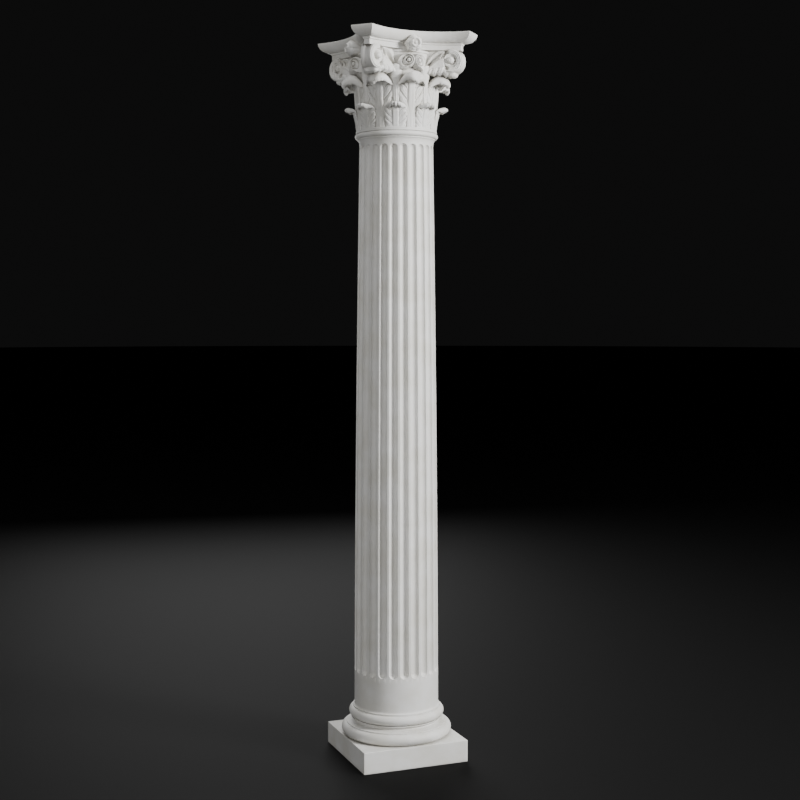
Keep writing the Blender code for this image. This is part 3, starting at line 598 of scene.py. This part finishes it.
def acanthus(across, along, count, notch, relief):
    """Edge share and relief of a carved leaf with a number of lobes along it."""
    side = np.abs(across)
    edge_phase = along * count - VEIN_LEAN
    edge_gap = np.abs(edge_phase - np.round(edge_phase))
    edge = 1 - notch * (1 - smooth_step(edge_gap / 0.30))
    phase = along * count - VEIN_LEAN * side ** 1.15
    inside = phase - np.floor(phase)
    gap = np.minimum(inside, 1 - inside)
    outer = smooth_step((side - 0.26) / 0.14)
    teeth = 0.45 * relief * np.cos(2 * math.pi * TEETH_IN_LOBE * (inside - 0.5)) * outer
    seam = -1.6 * relief * bump_at(gap, 0.0, 0.10) * outer * (0.45 + 0.55 * side)
    cup = 1.1 * relief * np.sin(math.pi * inside) * smooth_step((side - 0.35) / 0.5)
    midrib = 1.4 * relief * np.sqrt(np.clip(1 - (side / MIDRIB_HALF) ** 4, 0, 1))
    midrib = midrib - 0.25 * relief * bump_at(side, 0.0, 0.03)
    flank = -1.0 * relief * bump_at(side, 0.30, 0.045)
    return edge, teeth + seam + cup + midrib + flank


def carve(path, across, along, relief):
    """Place carved points: path gives (width, out, height), and relief moves them off it."""
    wide, out, height = path(across, along)
    ahead = path(across, np.clip(along + PATH_STEP, 0, 1))
    behind = path(across, np.clip(along - PATH_STEP, 0, 1))
    lean, rise = ahead[1] - behind[1], ahead[2] - behind[2]
    length = np.hypot(lean, rise) + 1e-9
    out = out + relief * rise / length
    height = height - relief * lean / length
    turn = wide / out
    return np.stack([out * np.sin(turn), -out * np.cos(turn), LEAF_FOOT + height], axis=-1)


LEAF_WALL = 0.010
LIP_SWELL = 0.8
LEAF_INSET = 0.007
CORNER_CUT, LIP_LOBE = 0.13, 0.026


def closed_sheet(front, back):
    """Join a front and a back grid along their sides and close both ends."""
    loop = np.concatenate([front, back[:, ::-1]], axis=1)
    middle = 0.5 * (loop + loop[:, ::-1])
    return np.concatenate([middle[:1], loop, middle[-1:]])


def leaf_solid(name, path, columns, rows, count, notch, relief, fade):
    """Carve one leaf at the front: its wall swells to a round lip, whose corners are drawn back."""
    across, along = np.meshgrid(np.linspace(-1, 1, columns), np.linspace(0, 1, rows))
    edge, height = acanthus(across, along, count, notch, relief)
    strength = fade(along)
    edge = 1 - (1 - edge) * strength * (1 - smooth_step((along - 0.66) / 0.12))
    rim = np.sqrt(np.clip(1 - np.abs(across) ** 8, 0, 1)) * np.sqrt(np.clip(1 - along ** 40, 0, 1))
    half = 0.5 * LEAF_WALL * rim * (1 + LIP_SWELL * smooth_step((along - 0.82) / 0.14))
    drawn_back = CORNER_CUT * np.abs(across) ** 4 + LIP_LOBE * np.sin(1.5 * math.pi * across) ** 4
    along = along * (1 - drawn_back * smooth_step((along - 0.6) / 0.3))
    front = carve(path, across * edge, along, half + height * strength * rim)
    back = carve(path, across * edge, along, -half)
    return grid_object(name, closed_sheet(front, back), wrap=True)


print("leaf walls", LEAF_WALL * 1000, "mm")

# %% [markdown]
# ## Lower leaves
# Eight leaves ring the foot of the bell. Each hugs the bell and then curls out and over in a short lip.
# The path is like that of the solid: a rise, then part of a turn.

# %% Lower leaf
LOWER_WIDTH, LOWER_HEIGHT, LOWER_LIP, LOWER_CURL = 0.096, 0.0955, 0.2165, 0.034
LOWER_SWEEP = math.radians(135)


def lower_path(across, along):
    """Width, distance from the axis and height of the lower leaf's middle surface."""
    spring = 0.50
    foot = BAND_REACH - LEAF_INSET
    lean = 0.2 * (LOWER_LIP - BAND_REACH)
    swing = LOWER_LIP - BAND_REACH - lean
    rise = np.minimum(along / spring, 1.0)
    bend = np.clip((along - spring) / (1 - spring), 0.0, 1.0)
    angle = LOWER_SWEEP * bend
    out = foot + lean * rise ** 2 + swing * (1 - np.cos(angle)) / (1 - math.cos(LOWER_SWEEP))
    height = (LOWER_HEIGHT - LOWER_CURL) * rise + (LOWER_CURL - 0.5 * LEAF_WALL) * np.sin(angle)
    taper = 0.88 + 0.12 * smooth_step(along / 0.4) - 0.40 * smooth_step((along - 0.62) / 0.38)
    side = bend * np.abs(across) ** 3
    scallop = 0.0022 * np.cos(5 * math.pi * across) * smooth_step((along - 0.85) / 0.15)
    wide = 0.5 * LOWER_WIDTH * taper * across
    return wide, out - 0.3 * swing * side + scallop, height - 0.5 * LOWER_CURL * side


lower_leaf = leaf_solid("capital_lower_leaves", lower_path, 57, 73, 5, 0.07, 0.0015,
                        lambda along: smooth_step(along / 0.10))
ring_of(lower_leaf, 8, math.pi / 8, CAPITAL_PAINT)
finish_piece(lower_leaf, "capital", CAPITAL_PAINT, 60)

# %% [markdown]
# ## Upper leaves
# Eight taller leaves stand behind the lower ones. Only a smooth stem shows between those; above them the
# leaf opens to its full width and then its tip arches over, while its sides stay with the leaf.

# %% Upper leaf
UPPER_WIDTH, UPPER_HEIGHT, UPPER_TIP_REACH, UPPER_CURL = 0.118, 0.2185, 0.239, 0.058
UPPER_TIP, UPPER_STEM_WIDTH, UPPER_DROOP, UPPER_DOME = 0.008, 0.040, 0.030, 0.90
TIP_BEND, SIDE_BEND_LOSS = 0.90, 0.36


def upper_path(across, along):
    """Width, distance from the axis and height of the upper leaf's middle surface."""
    spring, hang = 0.54, 0.94
    foot = BAND_REACH - LEAF_INSET
    lean = 0.1 * (UPPER_TIP_REACH - BAND_REACH)
    swing = UPPER_TIP_REACH - BAND_REACH - lean
    rise = np.minimum(along / spring, 1.0)
    bend = np.clip((along - spring) / (hang - spring), 0.0, 1.0)
    tip = np.clip((along - hang) / (1 - hang), 0.0, 1.0)
    bend = bend * (TIP_BEND - SIDE_BEND_LOSS * np.abs(across) ** 1.8)
    angle = math.pi * bend
    dome = np.sqrt(1 - UPPER_DOME * np.clip(across, -1, 1) ** 2)
    side = bend * np.abs(across) ** 3
    out = foot + lean * rise ** 3 + 0.5 * swing * (1 - np.cos(angle)) * (1 - 0.25 * side)
    out = out - 0.1 * swing * tip
    arch = np.abs(np.sin(angle)) ** np.where(bend < 0.5, 1.0, 1.3)
    height = (UPPER_HEIGHT - UPPER_CURL) * rise + (UPPER_CURL - 0.5 * LEAF_WALL) * arch * dome
    height = height - UPPER_TIP * tip * (0.7 + 0.5 * np.cos(4 * math.pi * across)) - UPPER_DROOP * side
    stem = UPPER_STEM_WIDTH / UPPER_WIDTH
    opening = smooth_step((along - 0.16) / 0.18)
    taper = stem + (0.96 - stem) * opening + 0.04 * smooth_step((along - 0.5) / 0.2)
    taper = taper - 0.26 * smooth_step((along - 0.78) / 0.22)
    wide = 0.5 * UPPER_WIDTH * taper * across
    return wide, out, height


def upper_fade(along):
    """Carving is faint on the stem, full on the leaf and softer on the hood."""
    on_leaf = smooth_step((along - 0.22) / 0.16)
    on_hood = smooth_step((along - 0.58) / 0.12)
    return 0.20 + 0.80 * on_leaf * (1 - 0.55 * on_hood)


upper_leaf = leaf_solid("capital_upper_leaves", upper_path, 59, 97, 7, 0.085, 0.0025, upper_fade)
ring_of(upper_leaf, 8, 0.0, CAPITAL_PAINT)
finish_piece(upper_leaf, "capital", CAPITAL_PAINT, 60)

# %% [markdown]
# ## Horn scrolls
# Under each horn two volutes meet edge to edge. A ribbed band runs round their shared edge, and each
# flank carries a round boss in the eye, a smooth channel round it and a beaded rim. The pair is one
# closed form, so it is made as one grid that runs from one eye, over the band, to the other eye.

# %% Scroll sizes
VOLUTE_EDGE, VOLUTE_FLARE = 0.046, math.radians(18.4)
VOLUTE_TIP = 0.297
EYE_OUT, EYE_DROP = 0.2545, 0.0405
EYE_HEIGHT = ABACUS_FOOT - EYE_DROP
EYE_BOSS, BOSS_HEIGHT = 0.0125, 0.0085
UNDERCUT_DEPTH, UNDERCUT_WIDTH = 0.011, 0.0030
CHANNEL_DEPTH = 0.0040
STEM_SIDE_DEPTH = 0.014


def flank_offset(out):
    """Half the width of a scroll pair at a distance from the axis."""
    return 0.5 * VOLUTE_EDGE + math.tan(VOLUTE_FLARE) * (VOLUTE_TIP - 0.006 - out)


def scroll_reach(turn):
    """Outer radius of the scroll: 0 is up, a quarter turn is outwards."""
    turns = np.array([-math.pi, -0.5 * math.pi, -0.25 * math.pi, 0.0, 0.25 * math.pi, 0.5 * math.pi,
                      0.75 * math.pi, math.pi])
    reach = np.array([0.0475, 0.043, 0.0435, 0.0425, 0.0440, 0.0445, 0.0465, 0.0475])
    return np.interp((turn + math.pi) % (2 * math.pi) - math.pi, turns, reach)


def flank_relief(radius, reach, turn):
    """How far the flank stands proud: boss, undercut, channel and rims that sink into the stem."""
    outward = 1 - smooth_step((-np.sin(turn) - 0.15) / 0.35)
    boss = BOSS_HEIGHT * np.sqrt(np.clip(1 - (radius / EYE_BOSS) ** 2, 0, 1))
    boss = boss - 0.0020 * bump_at(radius, 0.0, 0.0035)
    undercut = -UNDERCUT_DEPTH * bump_at(radius, EYE_BOSS + UNDERCUT_WIDTH, UNDERCUT_WIDTH)
    undercut = undercut * (0.50 + 0.50 * np.sin(turn - 0.3))
    channel = -CHANNEL_DEPTH * smooth_step((radius - EYE_BOSS) / 0.006)
    channel = channel * smooth_step((reach - 0.014 - radius) / 0.005)
    inner_rim = 0.0022 * bump_at(radius, reach - 0.0150, 0.0020)
    inner_rim = inner_rim + 0.0026 * bump_at(radius, reach - 0.0095, 0.0022)
    outer_rim = 0.0034 * bump_at(radius, reach - 0.0035, 0.0028)
    sunk = -STEM_SIDE_DEPTH * (1 - outward) * smooth_step((radius - 0.027) / 0.006)
    return boss + undercut + channel + (inner_rim + outer_rim) * outward + sunk


# %% Build the scroll pairs
def scroll_points():
    """Grid of one scroll pair that points to the front."""
    turns = np.linspace(-math.pi, math.pi, 112, endpoint=False)
    reach = scroll_reach(turns)
    rows = []
    shares = np.concatenate([np.linspace(0, 0.96, 46), [0.985, 1.0]])
    cos_flare = math.cos(VOLUTE_FLARE)
    for side in (-1, 1):
        flank = []
        for share in shares:
            radius = share * reach
            relief = flank_relief(radius, reach, turns) - 0.002 * smooth_step((share - 0.96) / 0.04)
            out = EYE_OUT + radius * np.sin(turns) * cos_flare
            half = flank_offset(out) + relief
            flank.append(np.stack([side * half, -out, EYE_HEIGHT + radius * np.cos(turns)], axis=-1))
        rows.append(flank)
    out = EYE_OUT + reach * np.sin(turns) * cos_flare
    half = flank_offset(out)
    band = []
    for share in np.linspace(-0.96, 0.96, 33):
        edge = np.abs(share)
        proud = 0.0022 * bump_at(edge, 0.86, 0.09) + 0.0018 * bump_at(edge, 0.58, 0.07)
        proud += -0.0025 * smooth_step((0.45 - edge) / 0.3)
        grow = 1 + (proud + 0.0008) / reach
        across = share * half
        band.append(np.stack([across, -(EYE_OUT + (out - EYE_OUT) * grow),
                              EYE_HEIGHT + reach * np.cos(turns) * grow], axis=-1))
    return np.array(rows[0] + band + rows[1][::-1])


scrolls = grid_object("capital_scrolls", scroll_points(), wrap=True)
ring_of(scrolls, 4, math.pi / 4, CAPITAL_PAINT)
finish_piece(scrolls, "capital", CAPITAL_PAINT, 55)

# %% [markdown]
# ## Scroll stems
# Each volute grows from a stalk on the bell. Its stem is a broad trough: deep and dark where it leaves
# the cup, then wide and shallow as it runs up under the abacus and into the coil. Below the trough is
# a smooth web, and below that hangs a small leaf whose round lobes hold the coil up. All of it lies
# along the flank of the scroll, so it is carved as relief on one slab.

# %% Flank frame
def in_flank(forward, height, proud):
    """Points on the flank of the front horn: forward of the eye, above the capital's foot, and proud."""
    out = EYE_OUT + forward * math.cos(VOLUTE_FLARE) + proud * math.sin(VOLUTE_FLARE)
    half = flank_offset(EYE_OUT) - forward * math.sin(VOLUTE_FLARE) + proud * math.cos(VOLUTE_FLARE)
    return np.stack([half, -out, height], axis=-1)


TROUGH_RUN = np.array([-0.118, -0.098, -0.090, -0.074, -0.052, -0.026, 0.0, 0.03])
TROUGH_DROP = np.array([0.084, 0.068, 0.059, 0.041, 0.026, 0.020, 0.0155, 0.0155])
TROUGH_HALF = np.array([0.0045, 0.0070, 0.0085, 0.0105, 0.0105, 0.0090, 0.0075, 0.0070])
TROUGH_DEPTH = np.array([0.004, 0.019, 0.020, 0.015, 0.009, 0.006, 0.004, 0.004])
STEM_WALL, WALL_GROWTH = 0.022, 0.014
STEM_START, STEM_END = -0.116, 0.018
LEAF_LOBES_PER_METRE = 41


def stem_relief(forward, drop):
    """Trough, web and hanging leaf, as height off the flank; drop is measured from the abacus."""
    middle = np.interp(forward, TROUGH_RUN, TROUGH_DROP)
    half = np.interp(forward, TROUGH_RUN, TROUGH_HALF)
    depth = np.interp(forward, TROUGH_RUN, TROUGH_DEPTH)
    across = (drop - middle) / half
    trough = -depth * np.exp(-np.abs(across) ** 2.6)
    upper_bead = 0.0032 * bump_at(across, -1.75, 0.42) * smooth_step((forward + 0.100) / 0.02)
    lower_bead = 0.0028 * bump_at(across, 1.7, 0.40)
    above = -0.004 * smooth_step((-across - 2.0) / 0.8)
    web = 0.0035 * np.sin(math.pi * np.clip((drop - middle - half) / 0.05, 0, 1))
    leaf_top = 0.068 - 0.10 * (forward + 0.05)
    below = (drop - leaf_top) / 0.030
    lobe_phase = forward * LEAF_LOBES_PER_METRE + 0.35 * below
    lobes = np.abs(np.sin(math.pi * lobe_phase))
    leaf = (0.0050 * smooth_step(below / 0.35) - 0.0045 * (1 - lobes) ** 2) * smooth_step(below / 0.12)
    veins = 0.0009 * np.cos(2 * math.pi * TEETH_IN_LOBE * lobe_phase) * smooth_step((below - 0.1) / 0.2)
    roll = -0.010 * smooth_step((below - 0.62) / 0.40) ** 2
    return trough + upper_bead + lower_bead + above + web + leaf + veins + roll


# %% Carve the stems
def stem_piece(side):
    """One stem of the front horn as a thick slab with a rounded rim."""
    run, spread = np.meshgrid(np.linspace(STEM_START, STEM_END, 81), np.linspace(0, 1, 69), indexing='ij')
    under_coil = smooth_step((run + 0.030) / 0.015)
    scallop = 0.0055 * np.sqrt(np.sin(math.pi * (run * LEAF_LOBES_PER_METRE + 0.35)) ** 2 + 0.03)
    lowest = 0.096 + 0.006 * under_coil + scallop - 0.30 * np.clip(-run - 0.085, 0, 1)
    drop = -0.002 + (lowest + 0.002) * spread
    behind = -0.014 * under_coil * smooth_step((0.082 - drop) / 0.010)
    wall = STEM_WALL + WALL_GROWTH * smooth_step((run + 0.06) / 0.03)
    proud = stem_relief(run, drop) * (1 - 0.7 * under_coil) + behind - 0.003
    ends = (run - STEM_START) / (STEM_END - STEM_START) * 2 - 1
    rim = np.sqrt(np.clip(1 - (2 * spread - 1) ** 16, 0, 1)) * np.sqrt(np.clip(1 - ends ** 24, 0, 1))
    front = in_flank(run, ABACUS_FOOT - drop, (proud + wall) * rim - wall)
    back = in_flank(run, ABACUS_FOOT - drop, -wall)
    points = closed_sheet(front, back)
    points[..., 0] *= side
    return grid_object("stem", points, wrap=True)


scroll_stems = joined("capital_scroll_stems", [stem_piece(-1), stem_piece(1)])
ring_of(scroll_stems, 4, math.pi / 4, CAPITAL_PAINT)
finish_piece(scroll_stems, "capital", CAPITAL_PAINT, 55)

# %% [markdown]
# ## Helices
# Two smaller scrolls lean together at the middle of each side, under the flower. Each is a ribbon that
# rises from the stalk, turns over and winds in to a round eye. The two face away from each other a
# little, so that the pair makes a blunt ridge. The outline of one is like a comma, wide where the
# ribbon comes in, so it is carved on a polar grid whose rim follows that outline.

# %% Helix sizes
HELIX_FACING = math.radians(32)
HELIX_DROP, HELIX_OFFSET, HELIX_REACH = 0.048, 0.0225, 0.196
COMMA_TURN = np.radians([0, 45, 90, 130, 160, 185, 205, 222, 240, 262, 300, 360])
COMMA_REACH = np.array([0.0225, 0.0235, 0.0260, 0.0320, 0.0390, 0.0470,
                        0.0560, 0.0570, 0.0400, 0.0265, 0.0225, 0.0225])
HELIX_EYE, HELIX_THICKNESS = 0.0080, 0.030


def helix_points(side):
    """Grid of one helix; turns start towards the middle of the face and run over the top."""
    turns = np.linspace(0, 2 * math.pi, 96, endpoint=False)
    share, turn = np.meshgrid(np.linspace(0, 1, 37), turns, indexing='ij')
    reach = np.interp(turn, COMMA_TURN, COMMA_REACH)
    radius = reach * share
    boss = 0.0070 * np.sqrt(np.clip(1 - (radius / HELIX_EYE) ** 2, 0, 1))
    groove = -0.0065 * bump_at(radius, 0.0098, 0.0022)
    inner_bead = 0.0042 * bump_at(radius, 0.0135, 0.0024)
    channel = -0.0062 * bump_at(radius, 0.0178 + 0.30 * (reach - 0.0225), 0.0024)
    rim = 0.0036 * bump_at(radius, reach - 0.0032, 0.0028) - 0.0040 * smooth_step((share - 0.93) / 0.07)
    tail = -0.010 * smooth_step((radius - 0.034) / 0.022)
    proud = boss + groove + inner_bead + channel + rim + tail
    front = np.stack([-side * radius * np.cos(turn), -proud, radius * np.sin(turn)], axis=-1)
    back = front[-1:].copy()
    back[..., 1] = HELIX_THICKNESS
    points = np.concatenate([front, back, back * np.array([0.0, 1.0, 0.0])])
    facing = side * HELIX_FACING
    x, y = points[..., 0], points[..., 1]
    turned_x = x * math.cos(facing) - y * math.sin(facing) + side * HELIX_OFFSET
    turned_y = x * math.sin(facing) + y * math.cos(facing) - HELIX_REACH
    return np.stack([turned_x, turned_y, points[..., 2] + ABACUS_FOOT - HELIX_DROP], axis=-1)


helices = joined("capital_helices", [grid_object("helix", helix_points(side), wrap=True) for side in (-1, 1)])
ring_of(helices, 4, 0.0, CAPITAL_PAINT)
finish_piece(helices, "capital", CAPITAL_PAINT, 55)

# %% [markdown]
# ## Stalks
# Between the upper leaves rise eight stalks. Each widens upwards, is lightly fluted, and ends in a cup
# of leaf tips from which a volute's stem and a helix's ribbon both grow.

# %% Stalk
STALK_TURN = math.radians(22)
STALK_FOOT = LEAF_FOOT + 0.070
STALK_TOP = ABACUS_FOOT - 0.068
STALK_RADIUS, CUP_GROWTH = 0.010, 0.017
CUP_DEPTH = 0.016


def stalk_points():
    """Grid of one stalk at the front: a leaning cone with grooves, a collar and an open cup."""
    turns = np.linspace(0, 2 * math.pi, 60, endpoint=False)
    share, turn = np.meshgrid(np.linspace(0, 1, 49), turns, indexing='ij')
    radius = STALK_RADIUS + CUP_GROWTH * share ** 1.4
    grooves = 0.0011 * np.cos(10 * turn) * smooth_step((0.70 - share) / 0.1)
    collar = 0.0022 * bump_at(share, 0.74, 0.022) + 0.0016 * bump_at(share, 0.79, 0.014)
    lobes = 0.0035 * np.abs(np.cos(2.5 * turn)) * smooth_step((share - 0.84) / 0.14)
    radius = radius + grooves + collar + lobes
    out = BELL_RADIUS + 0.001 + 0.006 * share
    ragged = 0.006 * np.abs(np.cos(2.5 * turn)) * smooth_step((share - 0.9) / 0.1)
    height = STALK_FOOT + (STALK_TOP - STALK_FOOT) * share + ragged
    flatness = 0.75 - 0.20 * share
    points = np.stack([radius * np.sin(turn), -out - radius * np.cos(turn) * flatness, height], axis=-1)
    rim = points[-1:]
    centre = rim.mean(axis=1, keepdims=True)
    inner = centre + (rim - centre) * 0.78 - np.array([0.0, 0.0, 0.004])
    floor_of_cup = centre + 0 * rim - np.array([0.0, 0.0, CUP_DEPTH])
    foot = points[:1] * 0 + points[:1].mean(axis=1, keepdims=True)
    return np.concatenate([foot, points, inner, floor_of_cup])


stalk = grid_object("capital_stalk", stalk_points(), wrap=True)
stalk.data.transform(Matrix.Rotation(STALK_TURN, 4, 'Z'))
mirror = stalk.data.copy()
mirror.transform(Matrix.Rotation(-2 * STALK_TURN, 4, 'Z'))
stalk = joined("capital_stalks", [stalk, bpy.data.objects.new("other_stalk", mirror)])
ring_of(stalk, 4, 0.0, CAPITAL_PAINT)
finish_piece(stalk, "capital", CAPITAL_PAINT, 55)

# %% [markdown]
# ## Flowers
# A flower sits at the middle of each side of the abacus: a small bud in a raised ring, and soft petals
# that fall away from the ring on to the mouldings.

# %% Flower
FLOWER_RADIUS, FLOWER_REACH, FLOWER_RISE = 0.033, 0.223, 0.018
FLOWER_PROUD = 0.0095


def flower_points():
    """Grid of the flower at the front."""
    turns = np.linspace(0, 2 * math.pi, 120, endpoint=False)
    share, turn = np.meshgrid(np.linspace(0, 1, 49), turns, indexing='ij')
    petal = np.abs(np.cos(2.5 * turn + 0.5)) ** 0.7
    radius = FLOWER_RADIUS * share * (1 - 0.14 * (1 - petal) * smooth_step((share - 0.55) / 0.4))
    bud = 0.0065 * np.sqrt(np.clip(1 - (share / 0.20) ** 2, 0, 1))
    ring = 0.0080 * bump_at(share, 0.50, 0.10)
    inner_petals = -0.0018 * (0.5 + 0.5 * np.cos(6 * turn)) * bump_at(share, 0.50, 0.12)
    fall = -0.013 * smooth_step((share - 0.52) / 0.48) + 0.0045 * petal * bump_at(share, 0.80, 0.13)
    proud = bud + ring + inner_petals + fall
    root = FLOWER_REACH - FLOWER_PROUD
    front = np.stack([radius * np.sin(turn), -(root + proud), radius * np.cos(turn)], axis=-1)
    back = front[-1:].copy()
    back[..., 1] = -(BAND_SIDE_REACH - 0.01)
    points = np.concatenate([front, back, back * np.array([0.0, 1.0, 0.0])])
    points[..., 2] += ABACUS_FOOT + FLOWER_RISE
    return points


flower = grid_object("capital_flowers", flower_points(), wrap=True)
ring_of(flower, 4, 0.0, CAPITAL_PAINT)
finish_piece(flower, "capital", CAPITAL_PAINT, 60)

# %% [markdown]
# ## Floor, light and camera
# The column stands on a dark floor against a dark ground, in soft studio light: a key lamp to the right,
# a wide fill to the left, one lamp behind and one above. The camera stands a little to the left of the
# column's front and 1.9 m up.

# %% Floor
FLOOR_RADIUS, FLOOR_DROP, FLOOR_CORNERS = 60, 0.0005, 64
floor_mesh = bpy.data.meshes.new("studio_floor")
floor_rim = [(FLOOR_RADIUS * math.cos(a), FLOOR_RADIUS * math.sin(a), -FLOOR_DROP)
             for a in np.linspace(0, 2 * math.pi, FLOOR_CORNERS, endpoint=False)]
floor_mesh.from_pydata(floor_rim, [], [tuple(range(FLOOR_CORNERS))])
floor = bpy.data.objects.new("studio_floor", floor_mesh)
bpy.context.scene.collection.objects.link(floor)
floor_paint = bpy.data.materials.new("studio_floor_paint")
floor_paint.use_nodes = True
floor_shader = floor_paint.node_tree.nodes["Principled BSDF"]
floor_shader.inputs["Base Color"].default_value = linear("080808")
floor_shader.inputs["Roughness"].default_value = 0.8
floor_shader.inputs["Specular IOR Level"].default_value = 0.1
floor.data.materials.append(floor_paint)

# %% Lamps
LAMP_WHITE = "FFFFFF"


def soft_lamp(name, place, aim, size, watts, colour):
    """Square soft box that looks at a point."""
    data = bpy.data.lights.new(name, 'AREA')
    data.size = size
    data.energy = watts
    data.color = linear(colour)[:3]
    lamp = bpy.data.objects.new(name, data)
    lamp.location = place
    lamp.rotation_euler = (Vector(aim) - Vector(place)).to_track_quat('-Z', 'Y').to_euler()
    bpy.context.scene.collection.objects.link(lamp)


soft_lamp("key_lamp", (3.7, -4.2, 3.4), (0, 0, 1.7), 1.4, 590, LAMP_WHITE)
soft_lamp("fill_lamp", (-5.0, -4.5, 1.8), (0, 0, 1.5), 5.0, 180, LAMP_WHITE)
soft_lamp("back_lamp", (1.0, 6.0, 3.0), (0, 0, 1.5), 4.0, 220, LAMP_WHITE)
soft_lamp("top_lamp", (0.0, -0.5, 6.0), (0, 0, 0), 4.0, 120, LAMP_WHITE)
world = bpy.data.worlds.new("studio_surround")
world.use_nodes = True
world.node_tree.nodes["Background"].inputs["Color"].default_value = linear("1E1E1E")
world.node_tree.nodes["Background"].inputs["Strength"].default_value = 0.45
bpy.context.scene.world = world

# %% Camera
VIEW_TURN, VIEW_DISTANCE, VIEW_HEIGHT = math.radians(21.43), 5.709, 1.9008
VIEW_PITCH = math.radians(3.94)
PICTURE_WIDTH, SHIFT_PIXELS = 800, 3.7
camera_data = bpy.data.cameras.new("photo_camera")
camera_data.lens = 61.25
camera_data.sensor_width = 36
camera_data.shift_x = SHIFT_PIXELS / PICTURE_WIDTH
camera = bpy.data.objects.new("photo_camera", camera_data)
camera.location = (-VIEW_DISTANCE * math.sin(VIEW_TURN), -VIEW_DISTANCE * math.cos(VIEW_TURN), VIEW_HEIGHT)
camera.rotation_euler = (math.pi / 2 - VIEW_PITCH, 0.0, -VIEW_TURN)
bpy.context.scene.collection.objects.link(camera)
bpy.context.scene.camera = camera
